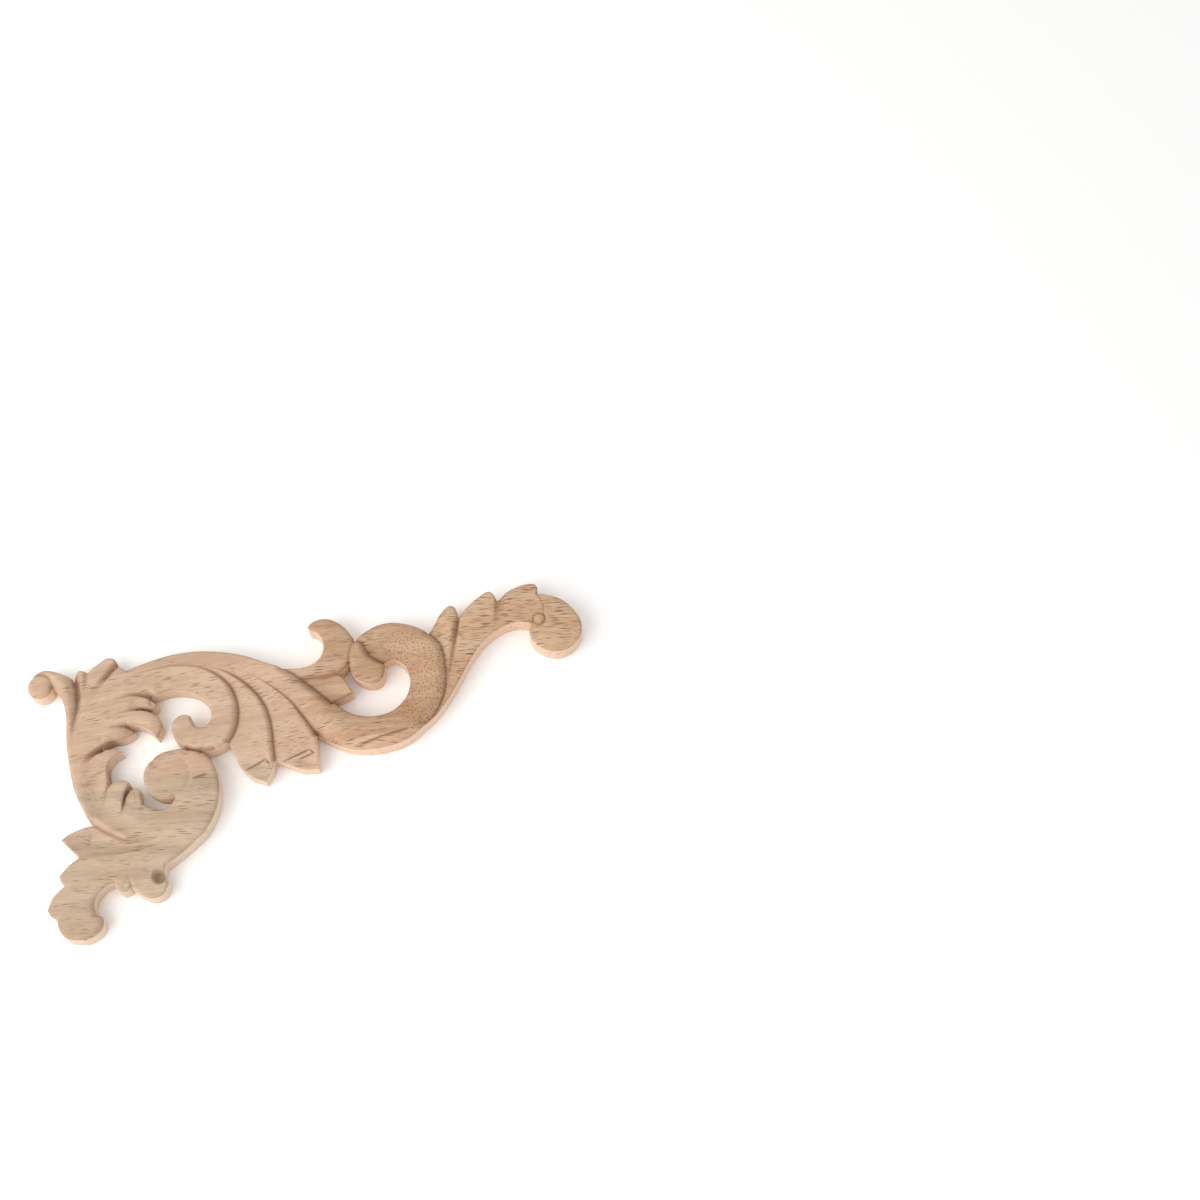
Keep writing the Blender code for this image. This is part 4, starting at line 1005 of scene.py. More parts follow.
@dataclass
class Relief:
    """The carved heights over a plan.

    Args:
        plan: The plan that the heights are for.
        pit: The drilled hollow in the small curl, as centre x, centre y and radius.
        pit_depth: How deep the pit is.
        cuts: The hollows and marks cut over the forms.
        ripple: How far the hand-carved face waves up and down.
        waves: The broad waves, as how many there are in a millimetre along and across, and the noise's layer.
        fine_waves: The same for the finer waves over them.
        fine_share: How high the finer waves are beside the broad ones.
        near: How far outside its outline a form still reaches.
        full_step: The drop at a border that a cut of the form's full width makes, and at which the painted
        shade in the carved line is full.
        full_shade_depth: How deep a hollow is where its painted shade is as dark as a carved line.
        line_reach: How far from a carved line its tone, with its painted shade, goes.
        line_and_shade_most: How dark the deepest carved line is, with the painted shade of its crease.
        slope: The least and the greatest width of a cut, as shares of the form's own width.
        rim_fade: How far from the rim the straight marks are at their full depth.
        pit_slope: How far the pit's wall reaches, as a share of its radius.
        mark_gain: How much darker a straight mark is than its depth gives.
    """

    plan: Plan
    pit: tuple[float, float, float] = (-40.1, -52.9, 2.2)
    pit_depth: float = 4.0
    cuts: CarverCuts = CarverCuts()
    ripple: float = 0.07
    waves: tuple[float, float, float] = (0.16, 0.3, 3.7)
    fine_waves: tuple[float, float, float] = (0.5, 0.9, 9.1)
    fine_share: float = 0.4
    near: float = 0.12
    full_step: float = 1.6
    full_shade_depth: float = 2.8
    line_reach: float = 1.0
    line_and_shade_most: float = 0.85
    slope: tuple[float, float] = (0.3, 1.2)
    rim_fade: float = 0.4
    pit_slope: float = 1.4
    mark_gain: float = 1.4

    def free_and_crease_edges(self) -> tuple[np.ndarray, np.ndarray]:
        """Find the edges that the carving ends or steps at.

        Returns:
            The edges on the piece's rim, and those between two forms.
        """
        label = self.plan.label
        sides = neighbours(self.plan.triangles)
        free = [edge for edge, pair in sides.items() if len(pair) == 1]
        crease = [edge for edge, pair in sides.items() if len(pair) == 2 and label[pair[0]] != label[pair[1]]]
        return np.array(free), np.array(crease)

    def owners(self) -> list[set]:
        """Find the forms that each point belongs to.

        Returns:
            For each point, the forms it touches.
        """
        owners: list[set] = [set() for _ in self.plan.verts]
        for triangle, owner in zip(self.plan.triangles.tolist(), self.plan.label.tolist()):
            for v in triangle:
                owners[v].add(owner)
        return owners

    def heights(self) -> tuple[np.ndarray, np.ndarray]:
        """Reckon the carved heights.

        Returns:
            The height of each point, and how dark its carved line is, from 0 to 1, with the painted crease
            shade.
        """
        verts, forms = self.plan.verts, self.plan.forms
        free_edges, crease_edges = self.free_and_crease_edges()
        owners = self.owners()
        to_free, _ = SegmentIndex(verts, free_edges).distance(verts)
        layers, fades = self.layers(owners, to_free)
        on_crease = np.zeros(len(verts), bool)
        on_crease[crease_edges.ravel()] = True

        height = np.zeros(len(verts))
        strength = np.zeros(len(verts))
        for v, owner in enumerate(owners):
            if owner:
                found = [layers[number, v] for number in owner]
                height[v] = min(found)
                if on_crease[v]:
                    top = max(owner)
                    cut = forms[top].groove * fades[top, v]
                    height[v] -= cut
                    # Painted shade: the line is darker where the step between the two forms is taller, over
                    # the crushed fibres' tone.
                    strength[v] = np.clip((max(found) - min(found) + cut) / self.full_step, 0.0, 1.0)
        self.cut_steps(height, owners, crease_edges)
        return self.finish(height, strength, to_free, crease_edges)

    def layers(self, owners: list[set], to_free: np.ndarray) -> tuple[np.ndarray, np.ndarray]:
        """Lay each form over those below it.

        Args:
            owners: For each point, the forms it touches.
            to_free: Each point's distance to the rim.

        Returns:
            Each form's height over the points it covers, and how far it has risen there.
        """
        verts, forms = self.plan.verts, self.plan.forms
        layers = np.full((len(forms), len(verts)), np.nan)
        fades = np.ones((len(forms), len(verts)))
        current = np.full(len(verts), np.nan)
        for number, form in enumerate(forms):
            outline = form.outline()
            low, high = outline.min(0) - 1, outline.max(0) + 1
            boxed = np.flatnonzero(((verts > low) & (verts < high)).all(1))
            within = inside(verts[boxed], outline)
            distance, _, _ = nearest(verts[boxed], outline, closed=True)
            owned = np.array([number in owners[v] for v in boxed])
            near = boxed[within | owned | (distance < self.near)]
            height, across = form.height_at(verts[near])
            width, depth = form.rounding(across)
            share = np.clip(1 - to_free[near] / width, 0.0, 1.0)
            height = height - depth * (1 - np.sqrt(1 - share ** 2))
            weight = form.risen(verts[near])
            fades[number, near] = weight
            under = np.where(np.isnan(current[near]), height, current[near])
            height = under + (height - under) * weight
            layers[number, near] = height
            current[near] = height
        return layers, fades

    def cut_steps(self, height: np.ndarray, owners: list[set], creases: np.ndarray) -> None:
        """Slope each form down to the lines along its borders.

        Args:
            height: The heights, which this changes.
            owners: For each point, the forms it touches.
            creases: The edges between two forms.
        """
        verts = self.plan.verts
        alone = np.array([next(iter(owner)) if len(owner) == 1 else -1 for owner in owners])
        for number, form in enumerate(self.plan.forms):
            mine = np.flatnonzero(alone == number)
            lines = np.array([(a, b) for a, b in creases.tolist() if number in owners[a] & owners[b]])
            if not len(mine) or not len(lines):
                continue
            distance, _ = SegmentIndex(verts, lines).distance(verts[mine])
            close = distance < 3 * form.step
            mine, distance = mine[close], distance[close]
            ends, batch = np.unique(lines), BATCH // 2
            for first in range(0, len(mine), batch):
                some = mine[first:first + batch]
                gap = np.linalg.norm(verts[some][:, None] - verts[ends][None], axis=2)
                weight = 1 / (gap ** 4 + 1e-6)
                floor = (weight * height[ends][None]).sum(1) / weight.sum(1)
                drop = height[some] - floor
                width = form.step * np.clip(drop / self.full_step, *self.slope)
                height[some] = floor + drop * chamfer(distance[first:first + batch] / width)

    def finish(
        self, height: np.ndarray, strength: np.ndarray, to_free: np.ndarray, creases: np.ndarray
    ) -> tuple[np.ndarray, np.ndarray]:
        """Add the pit, the hollows, the tool cuts and the slight waves of a hand-carved face.

        Args:
            height: The heights from the forms alone.
            strength: How dark the carved line at each point is, from 0 to 1, with the painted shade of its
                step.
            to_free: Each point's distance to the rim.
            creases: The edges between two forms.

        Returns:
            The finished heights, and how dark each point's carved line and painted shade are.
        """
        verts = self.plan.verts
        x, y, radius = self.pit
        away = np.hypot(verts[:, 0] - x, verts[:, 1] - y)
        height = height - self.pit_depth * rise(self.pit_slope - away / radius)
        marks_and_hollow_shade = np.zeros(len(verts))
        for gouge in self.cuts.gouges:
            deep = gouge.depth_at(verts)
            height = height - deep
            # Painted shade in the hollows: the deeper a hollow, the darker its tone.
            marks_and_hollow_shade = np.maximum(marks_and_hollow_shade, np.clip(deep / self.full_shade_depth, 0.0, 1.0))
        for cut in self.cuts.tool_cuts:
            deep = cut.depth_at(verts)
            height = height - deep * np.clip(to_free / self.rim_fade, 0.0, 1.0)
            marks_and_hollow_shade = np.maximum(marks_and_hollow_shade, np.clip(deep / cut.depth * self.mark_gain, 0.0, 1.0))
        broad, fine = (
            np.array([noise.noise((along * px, across * py, layer)) for px, py in verts.tolist()])
            for along, across, layer in (self.waves, self.fine_waves)
        )
        height = height + self.ripple * (broad + self.fine_share * fine)
        # Each point takes its nearest carved line's tone, which holds the painted shade of the crease.
        to_crease, end = SegmentIndex(verts, creases).distance(verts)
        line = self.line_and_shade_most * strength[end] * np.clip(1 - to_crease / self.line_reach, 0.0, 1.0)
        return height, np.maximum(line, marks_and_hollow_shade)


@dataclass
class CarvedApplique:
    """The one carved piece: its relief, its sawn edges and its flat back, in bare wood.

    Args:
        forms: Every carved form, from the lowest to the one over all others.
        cuts: The hollows and marks cut over the forms.
        levels: Heights of the rows of points down the sawn edge, as shares of the edge's height.
        ease: How far the edge of the back is sanded in.
        painted_shade_and_scorch_spots: Tight bays whose sawn walls get painted shade, with some browning by
            the cutter, as (x, y, reach).
        painted_shade_and_scorch: How dark it is there, as a share of the carved lines' tone.
        sharp: Faces that meet at more than this angle show an edge.
    """

    forms: list[Form]
    cuts: CarverCuts = CarverCuts()
    levels: tuple[float, ...] = (0.93, 0.75, 0.5, 0.25, 0.04, 0.0)
    ease: float = 0.25
    painted_shade_and_scorch_spots: tuple = ((-53.4, -12.5, 6.0), (-47.8, -20.5, 4.5), (-51.0, -0.8, 4.5), (28.2, -1.0, 4.0))
    painted_shade_and_scorch: float = 0.8
    sharp: float = math.radians(42)

    def build(self) -> bpy.types.Object:
        """Make the mesh object in the row frame.

        Returns:
            The object.
        """
        plan = Plan(self.forms, marks=tuple((cut.start, cut.end) for cut in self.cuts.tool_cuts))
        height, line_and_shade = Relief(plan, cuts=self.cuts).heights()
        triangles = plan.triangles.copy()
        turned = signed_areas(plan.verts, triangles) < 0
        triangles[turned] = triangles[turned][:, ::-1]
        used = np.unique(triangles)
        renumber = np.full(len(plan.verts), -1)
        renumber[used] = np.arange(len(used))
        triangles, verts, height = renumber[triangles], plan.verts[used], height[used]

        rim = self.rim_edges(triangles)
        outline = np.unique(rim)
        place = np.full(len(verts), -1)
        place[outline] = np.arange(len(outline))
        start, end = place[rim[:, 0]], place[rim[:, 1]]
        inward = self.inward(verts[outline], start, end)
        points = [np.column_stack([verts, height])]
        faces = triangles.tolist()
        above, base = outline, len(verts)
        for level in self.levels:
            pulled = verts[outline] + inward * (self.ease if level == 0.0 else 0.0)
            points.append(np.column_stack([pulled, height[outline] * level]))
            below = base + np.arange(len(outline))
            faces += np.column_stack([above[end], above[start], below[start], below[end]]).tolist()
            above, base = below, base + len(outline)
        faces += above[self.back_triangles(verts[outline], start, end)].tolist()

        mesh = bpy.data.meshes.new("carved_applique")
        mesh.from_pydata((np.vstack(points) * MM).tolist(), [], faces)
        mesh.validate()
        mesh.shade_smooth()
        mesh.set_sharp_from_angle(angle=self.sharp)
        self.write_attributes(mesh, line_and_shade[used])
        applique = bpy.data.objects.new("carved_applique", mesh)
        bpy.context.scene.collection.objects.link(applique)
        return applique

    def rim_edges(self, triangles: np.ndarray) -> np.ndarray:
        """Find the edges with a triangle on one side only.

        Args:
            triangles: The triangles.

        Returns:
            The edges, in the direction of their triangle.
        """
        edges = np.concatenate([triangles[:, [0, 1]], triangles[:, [1, 2]], triangles[:, [2, 0]]])
        both = {(b, a) for a, b in edges.tolist()}
        return np.array([edge for edge in edges.tolist() if tuple(edge) not in both])

    def inward(self, outline: np.ndarray, start: np.ndarray, end: np.ndarray) -> np.ndarray:
        """Find the direction into the wood.

        Args:
            outline: The points of the rim.
            start: The number of each rim edge's first point.
            end: The number of its last one.

        Returns:
            A unit direction for each point.
        """
        run = outline[end] - outline[start]
        length = np.linalg.norm(run, axis=1, keepdims=True) + TINY
        normal = np.column_stack([-run[:, 1], run[:, 0]]) / length
        total = np.zeros_like(outline)
        np.add.at(total, start, normal)
        np.add.at(total, end, normal)
        return total / (np.linalg.norm(total, axis=1, keepdims=True) + TINY)

    def back_triangles(self, outline: np.ndarray, start: np.ndarray, end: np.ndarray) -> np.ndarray:
        """Fill the flat back.

        Args:
            outline: The points of the rim.
            start: The number of each rim edge's first point.
            end: The number of its last one.

        Returns:
            The triangles, which face down.
        """
        edges = list(zip(start.tolist(), end.tolist()))
        _, floor, _, _, _ = triangulate(outline, edges, [])
        middles = outline[floor].mean(1)
        loops = np.stack([outline[start], outline[end]], axis=1)
        floor = floor[odd_crossings(middles, loops)]
        wrong = signed_areas(outline, floor) > 0
        floor[wrong] = floor[wrong][:, ::-1]
        return floor

    def write_attributes(self, mesh: bpy.types.Mesh, line_and_shade: np.ndarray) -> None:
        """Store where each point is sawn, and how near it is to a carved line.

        Args:
            mesh: The mesh.
            line_and_shade: How dark the carved points' lines are, with their painted shade.
        """
        surface = np.full(len(mesh.vertices), Surface.SAWN.value, np.float32)
        surface[:len(line_and_shade)] = Surface.CARVED.value
        places = np.array([v.co[:2] for v in mesh.vertices]) / MM
        line = np.zeros(len(mesh.vertices), np.float32)
        # Painted shade, with some browning by the cutter, on the sawn walls of the tight bays, which little
        # light reaches.
        for x, y, reach in self.painted_shade_and_scorch_spots:
            away = np.hypot(places[:, 0] - x, places[:, 1] - y)
            line = np.maximum(line, self.painted_shade_and_scorch * rise(1 - away / reach))
        line[:len(line_and_shade)] = line_and_shade
        for name, values in (("sawn", surface), ("carved_line_and_painted_shade", line)):
            mesh.attributes.new(name, "FLOAT", "POINT").data.foreach_set("value", values.astype(np.float32))

    def dress(self, applique: bpy.types.Object, wood: "Rubberwood") -> None:
        """Give the piece its wood."""
        applique.data.materials.append(wood.material())


def linear(hex_colour: str) -> tuple[float, float, float, float]:
    """An sRGB hex colour as linear red, green, blue and alpha."""
    parts = [int(hex_colour.lstrip("#")[k:k + 2], 16) / 255 for k in (0, 2, 4)]
    return (*(c / 12.92 if c <= 0.04045 else ((c + 0.055) / 1.055) ** 2.4 for c in parts), 1.0)


def add_node(tree: NodeTree, kind: str, settings: dict | None = None) -> "bpy.types.NodeOutputs":
    """Add a node with its settings and its links.

    Args:
        tree: The node tree.
        kind: The node's type name.
        settings: Node properties by name, and sockets by name or number. A socket gets a plain value, or the
            output of another node, which is then linked to it.

    Returns:
        The node's outputs.
    """
    node = tree.nodes.new(kind)
    for name, value in (settings or {}).items():
        if isinstance(value, NodeSocket):
            tree.links.new(value, node.inputs[name])
        elif isinstance(name, str) and hasattr(node, name):
            setattr(node, name, value)
        else:
            node.inputs[name].default_value = value
    return node.outputs


@dataclass(frozen=True)
class Tone:
    """A tone of the wood, which may turn to others along the long arm.

    Args:
        first: The tone, as an sRGB hex colour.
        turns: The tones that it turns to, each as (from, to, tone), with the places in millimetres.
        most: How much of it there is where it lies over another tone.
    """

    first: str
    turns: tuple[tuple[float, float, str], ...] = ()
    most: float = 1.0

    def colour(self, tree: NodeTree, along: NodeSocket) -> NodeSocket | tuple[float, ...]:
        """The tone at each place.

        Args:
            tree: The node tree.
            along: The distance along the long arm, in millimetres.

        Returns:
            The linear colour, or the output that gives it.
        """
        colour = linear(self.first)
        for start, end, tone in self.turns:
            settings = {"Value": along, "From Min": start, "From Max": end}
            share = add_node(tree, "ShaderNodeMapRange", settings)[0]
            settings = {"data_type": "RGBA", "Factor": share, MIX_BELOW: colour, MIX_ABOVE: linear(tone)}
            colour = add_node(tree, "ShaderNodeMix", settings)[MIX_COLOUR]
        return colour

    def over(self, tree: NodeTree, below: NodeSocket, share: NodeSocket, along: NodeSocket) -> NodeSocket:
        """This tone laid over another.

        Args:
            tree: The node tree.
            below: The colour that it is laid over.
            share: How much of each place it covers.
            along: The distance along the long arm, in millimetres.

        Returns:
            The colour with this tone over it.
        """
        amount = add_node(tree, "ShaderNodeMath", {"operation": "MULTIPLY", 0: share, 1: self.most})[0]
        above = self.colour(tree, along)
        settings = {"data_type": "RGBA", "Factor": amount, MIX_BELOW: below, MIX_ABOVE: above}
        return add_node(tree, "ShaderNodeMix", settings)[MIX_COLOUR]


@dataclass(frozen=True)
class Streaks:
    """Soft streaks or patches in the wood.

    Args:
        size: Their size along, across and down the grain, in millimetres.
        shown: The value of the noise at which they begin, and at which they are full.
        strength: What they give where they haven't begun, and where they are full.
        detail: How many finer layers the noise has.
        roughness: How strong its finer layers are.
        distortion: How far it is twisted.
    """

    size: tuple[float, float, float]
    shown: tuple[float, float] = (0.0, 1.0)
    strength: tuple[float, float] = (0.0, 1.0)
    detail: float = 2.0
    roughness: float = 0.5
    distortion: float = 0.0

    def noise(self, tree: NodeTree, place: NodeSocket) -> NodeSocket:
        """The noise that they are shaped from.

        Args:
            tree: The node tree.
            place: The coordinates in millimetres.

        Returns:
            A value from 0 to 1.
        """
        scale = tuple(1 / size for size in self.size)
        settings = {
            "Vector": add_node(tree, "ShaderNodeMapping", {"Vector": place, "Scale": scale})[0], "Scale": 1.0,
            "Detail": self.detail, "Roughness": self.roughness, "Distortion": self.distortion,
        }
        return add_node(tree, "ShaderNodeTexNoise", settings)[0]

    def share(self, tree: NodeTree, place: NodeSocket) -> NodeSocket:
        """How strong they are at each place.

        Args:
            tree: The node tree.
            place: The coordinates in millimetres.

        Returns:
            A value between the two strengths.
        """
        (start, end), (least, most) = self.shown, self.strength
        settings = {"From Min": start, "From Max": end, "To Min": least, "To Max": most}
        return add_node(tree, "ShaderNodeMapRange", {"Value": self.noise(tree, place), **settings})[0]


class Cells(Enum):
    """How the cells that hold one vessel each fill the wood."""

    SOLID = "3D"
    FLAT = "2D"


@dataclass(frozen=True)
class Vessels:
    """One set of open vessels, each in a cell of its own.

    Real vessels are 0.1 to 0.2 mm wide. They are drawn about twice as wide, the finest that the picture
    shows.

    Args:
        cell: The length and the width of a cell, in millimetres.
        core: How far from a cell's middle its vessel ends, and how far it is full, as shares of the cell.
        patches: Where there are more vessels and where fewer.
        shown: The density at which the first vessels show, and at which all do.
        cells: How the cells fill the wood. Flat ones all show on the carved face and none on the sawn edge.
        darkest: How dark the darkest vessel is.
        faintest: How dark the faintest one is beside it.
        scatter: How much chance adds to the density.
        more: The places along the long arm between which the vessels get more frequent, in millimetres.
        more_there: What the density gains there.
        darker: The places along the long arm between which they get darker, in millimetres.
        dark_before: How dark they are before that.
    """

    cell: tuple[float, float]
    core: tuple[float, float]
    patches: Streaks
    shown: tuple[float, float]
    cells: Cells
    darkest: float = 1.0
    faintest: float = 0.4
    scatter: float = 0.3
    more: tuple[float, float] = (56.0, 68.0)
    more_there: float = 0.26
    darker: tuple[float, float] = (0.0, 25.0)
    dark_before: float = 0.8

    def density(
        self, tree: NodeTree, place: NodeSocket, along: NodeSocket, chance: NodeSocket,
    ) -> NodeSocket:
        """How frequent the vessels are.

        Args:
            tree: The node tree.
            place: The coordinates in millimetres.
            along: The distance along the long arm, in millimetres.
            chance: A value from 0 to 1 for each cell.

        Returns:
            The density, from which `shown` picks the vessels.
        """
        start, end = self.more
        settings = {"From Min": start, "From Max": end, "To Max": self.more_there}
        more = add_node(tree, "ShaderNodeMapRange", {"Value": along, **settings})[0]
        settings = {"operation": "ADD", 0: self.patches.noise(tree, place), 1: more}
        density = add_node(tree, "ShaderNodeMath", settings)[0]
        settings = {"operation": "MULTIPLY_ADD", 0: chance, 1: self.scatter, 2: density}
        density = add_node(tree, "ShaderNodeMath", settings)[0]
        if self.cells is Cells.FLAT:
            sawn = add_node(tree, "ShaderNodeAttribute", {"attribute_name": "sawn"})["Fac"]
            density = add_node(tree, "ShaderNodeMath", {"operation": "SUBTRACT", 0: density, 1: sawn})[0]
        return density

    def share(self, tree: NodeTree, place: NodeSocket, along: NodeSocket) -> NodeSocket:
        """How much of each place is open vessel.

        Args:
            tree: The node tree.
            place: The coordinates in millimetres.
            along: The distance along the long arm, in millimetres.

        Returns:
            A value from 0 to 1.
        """
        length, width = self.cell
        scale = (1 / length, 1 / width, 1 / width)
        settings = {
            "Vector": add_node(tree, "ShaderNodeMapping", {"Vector": place, "Scale": scale})[0],
            "voronoi_dimensions": self.cells.value, "Scale": 1.0, "Randomness": 1.0,
        }
        cells = add_node(tree, "ShaderNodeTexVoronoi", settings)
        chances = add_node(tree, "ShaderNodeSeparateColor", {0: cells["Color"]})
        steps = (
            (cells["Distance"], self.core, 0.0),
            (chances[0], (0.0, 1.0), self.faintest),
            (self.density(tree, place, along, chances[1]), self.shown, 0.0),
            (along, self.darker, self.dark_before),
        )
        share = self.darkest
        for value, (start, end), least in steps:
            settings = {"From Min": start, "From Max": end, "To Min": least}
            factor = add_node(tree, "ShaderNodeMapRange", {"Value": value, **settings})[0]
            share = add_node(tree, "ShaderNodeMath", {"operation": "MULTIPLY", 0: share, 1: factor})[0]
        return share


@dataclass(frozen=True)
class Rubberwood:
    """Bare, sanded rubberwood, glued up from two boards, with its grain along the long arm.

    Args:
        upper, lower: The two boards, which are browner along the long arm.
        early: The paler tone of the growth bands.
        rosy: The pinker tone of broad patches.
        sawn: The fresher tone of the sawn edge.
        line: The browner tone of the carved lines, where the fibres are crushed. It also paints the shade in
        the creases, in the deep hollows and on the walls of tight bays.
        open: The dark tone inside the open vessels.
        bands, patches: The growth bands, cut at a slant, and the rosy patches. They give soft cloudy streaks.
        fibres: How light the fibres are. Real ones are 0.02 mm wide. They are drawn 0.35 mm wide, the finest
            that the picture shows, and break up the tone at arm's length.
        fuzz: The raised fibres of the sanded face, drawn as coarse for the same reason.
        dashes, pricks: The vessels along the grain. A few are long and dark, and many are short and faint, so
            that the face looks pricked and combed.
        dots: The vessels where the cut crosses the grain.
        joint_y, joint_blur: Where the glue joint runs and half its width, in millimetres.
        bow: How much the grain bows, as millimetres across for each square millimetre along.
        bow_middle: Where along the long arm the bow is highest, in millimetres.
        lower_slant: How far the lower board's grain falls for each millimetre along.
        end_grain: Where the cut crosses the grain, as centre x, centre y and radius in millimetres.
        end_grain_blur: How wide the border of that patch is.
        end_grain_from: The places along the long arm between which the patch begins.
        roughness, open_roughness: Of the sanded face, and of the open vessels, which scatter the light more.
        ior, specular: Of bare wood without any finish.
        fuzz_height, fuzz_strength: How high the raised fibres are in millimetres, and how much of it shows.
        open_depth: How deep the vessels are, as so many times that height.
    """

    upper: Tone = Tone("#BB9C82", ((8, 27, "#A9825F"), (56, 68, "#BF9A77")))
    lower: Tone = Tone("#AF987F", ((8, 27, "#C7A080"),))
    early: Tone = Tone("#D8C0A5", most=0.45)
    rosy: Tone = Tone("#BF9478", most=0.28)
    sawn: Tone = Tone("#E1C7AF", ((0, 35, "#E9C8AE"),), 0.9)
    # Partly the crushed fibres' own brown, partly painted shade in the creases, the deep hollows and the
    # tight bays.
    line: Tone = Tone("#86593D", most=0.82)
    open: Tone = Tone("#583523", most=0.95)
    bands: Streaks = Streaks((60, 4.5, 7), (0.38, 0.68), detail=3.0, roughness=0.55, distortion=0.6)
    patches: Streaks = Streaks((26, 13, 13), (0.46, 0.62))
    fibres: Streaks = Streaks((7, 0.35, 0.5), (0.3, 0.7), (0.87, 1.08), roughness=0.6)
    fuzz: Streaks = Streaks((3, 0.3, 0.3), detail=3.0)
    dashes: Vessels = Vessels(
        (9.0, 0.85), (0.26, 0.1), Streaks((40, 8, 12), detail=1.0), (0.69, 0.8), Cells.FLAT
    )
    pricks: Vessels = Vessels(
        (4.2, 0.55), (0.4, 0.18), Streaks((18, 5, 9), detail=1.0), (0.56, 0.84), Cells.SOLID, darkest=0.7
    )
    dots: Vessels = Vessels(
        (1.15, 1.15), (0.32, 0.12), Streaks((9, 9, 9), detail=1.0), (0.54, 0.66), Cells.FLAT, darkest=0.78
    )
    joint_y: float = -17.6
    joint_blur: float = 0.15
    bow: float = 0.00055
    bow_middle: float = -30.0
    lower_slant: float = 0.15
    end_grain: tuple[float, float, float] = (50.0, 1.5, 22.0)
    end_grain_blur: float = 1.5
    end_grain_from: tuple[float, float] = (46.0, 54.0)
    roughness: float = 0.62
    open_roughness: float = 0.85
    ior: float = 1.5
    specular: float = 0.35
    fuzz_height: float = 0.04
    fuzz_strength: float = 0.5
    open_depth: float = 1.5

    def material(self) -> bpy.types.Material:
        """Make the material of the finished wood.

        Returns:
            The material, with its colour, its roughness and its fine relief.
        """
        material = bpy.data.materials.new("bare_rubberwood_carved_and_sanded")
        material.use_nodes = True
        tree = material.node_tree
        shader = tree.nodes["Principled BSDF"]
        metres = add_node(tree, "ShaderNodeTexCoord")["Object"]
        place = add_node(tree, "ShaderNodeMapping", {"Vector": metres, "Scale": (1 / MM,) * 3})[0]
        axes = add_node(tree, "ShaderNodeSeparateXYZ", {0: place})
        grain = self.grain(tree, axes)
        vessels = self.vessels(tree, grain, place, axes["X"])

        settings = {"Value": vessels, "To Min": self.roughness, "To Max": self.open_roughness}
        rough = add_node(tree, "ShaderNodeMapRange", settings)[0]
        colour = self.colour(tree, grain, axes, vessels)
        relief = self.surface(tree, grain, vessels)
        for name, output in (("Base Color", colour), ("Roughness", rough), ("Normal", relief)):
            tree.links.new(output, shader.inputs[name])
        shader.inputs["IOR"].default_value = self.ior
        shader.inputs["Specular IOR Level"].default_value = self.specular
        return material

    def grain(self, tree: NodeTree, axes: "bpy.types.NodeOutputs") -> NodeSocket:
        """Coordinates along the grain, which bows a little and slants in the lower board.

        Args:
            tree: The node tree.
            axes: The three plain coordinates in millimetres.

        Returns:
            The coordinates along, across and down the grain, in millimetres.
        """
        across = axes["Y"]
        settings = {"operation": "SUBTRACT", 0: axes["X"], 1: self.bow_middle}
        from_bow = add_node(tree, "ShaderNodeMath", settings)[0]
        square = add_node(tree, "ShaderNodeMath", {"operation": "MULTIPLY", 0: from_bow, 1: from_bow})[0]
        below = add_node(tree, "ShaderNodeMath", {"operation": "LESS_THAN", 0: across, 1: self.joint_y})[0]
        slant = add_node(tree, "ShaderNodeMath", {"operation": "MULTIPLY", 0: below, 1: axes["X"]})[0]
        for value, share in ((square, self.bow), (slant, self.lower_slant)):
            settings = {"operation": "MULTIPLY_ADD", 0: value, 1: share, 2: across}
            across = add_node(tree, "ShaderNodeMath", settings)[0]
        return add_node(tree, "ShaderNodeCombineXYZ", {0: axes["X"], 1: across, 2: axes["Z"]})[0]

    def colour(
        self, tree: NodeTree, grain: NodeSocket, axes: "bpy.types.NodeOutputs", vessels: NodeSocket,
    ) -> NodeSocket:
        """The wood's colour: two boards that meet in a thin glue line, with all that lies over them.

        Args:
            tree: The node tree.
            grain: The coordinates along the grain, in millimetres.
            axes: The three plain coordinates in millimetres.
            vessels: How much of each place is open vessel.

        Returns:
            The colour.
        """
        along = axes["X"]
        settings = {"From Min": self.joint_y + self.joint_blur, "From Max": self.joint_y - self.joint_blur}
        below = add_node(tree, "ShaderNodeMapRange", {"Value": axes["Y"], **settings})[0]
        colour = self.lower.over(tree, self.upper.colour(tree, along), below, along)
        colour = self.early.over(tree, colour, self.bands.share(tree, grain), along)
        colour = self.rosy.over(tree, colour, self.patches.share(tree, grain), along)
        light = self.fibres.share(tree, grain)
        grey = add_node(tree, "ShaderNodeCombineColor", {0: light, 1: light, 2: light})[0]
        settings = {"data_type": "RGBA", "blend_type": "MULTIPLY", "Factor": 1.0}
        settings |= {MIX_BELOW: colour, MIX_ABOVE: grey}
        colour = add_node(tree, "ShaderNodeMix", settings)[MIX_COLOUR]
        # The carved lines' tone holds painted shade as well as the crushed fibres' brown.
        for name, tone in (("sawn", self.sawn), ("carved_line_and_painted_shade", self.line)):
            share = add_node(tree, "ShaderNodeAttribute", {"attribute_name": name})["Fac"]
            colour = tone.over(tree, colour, share, along)
        return self.open.over(tree, colour, vessels, along)

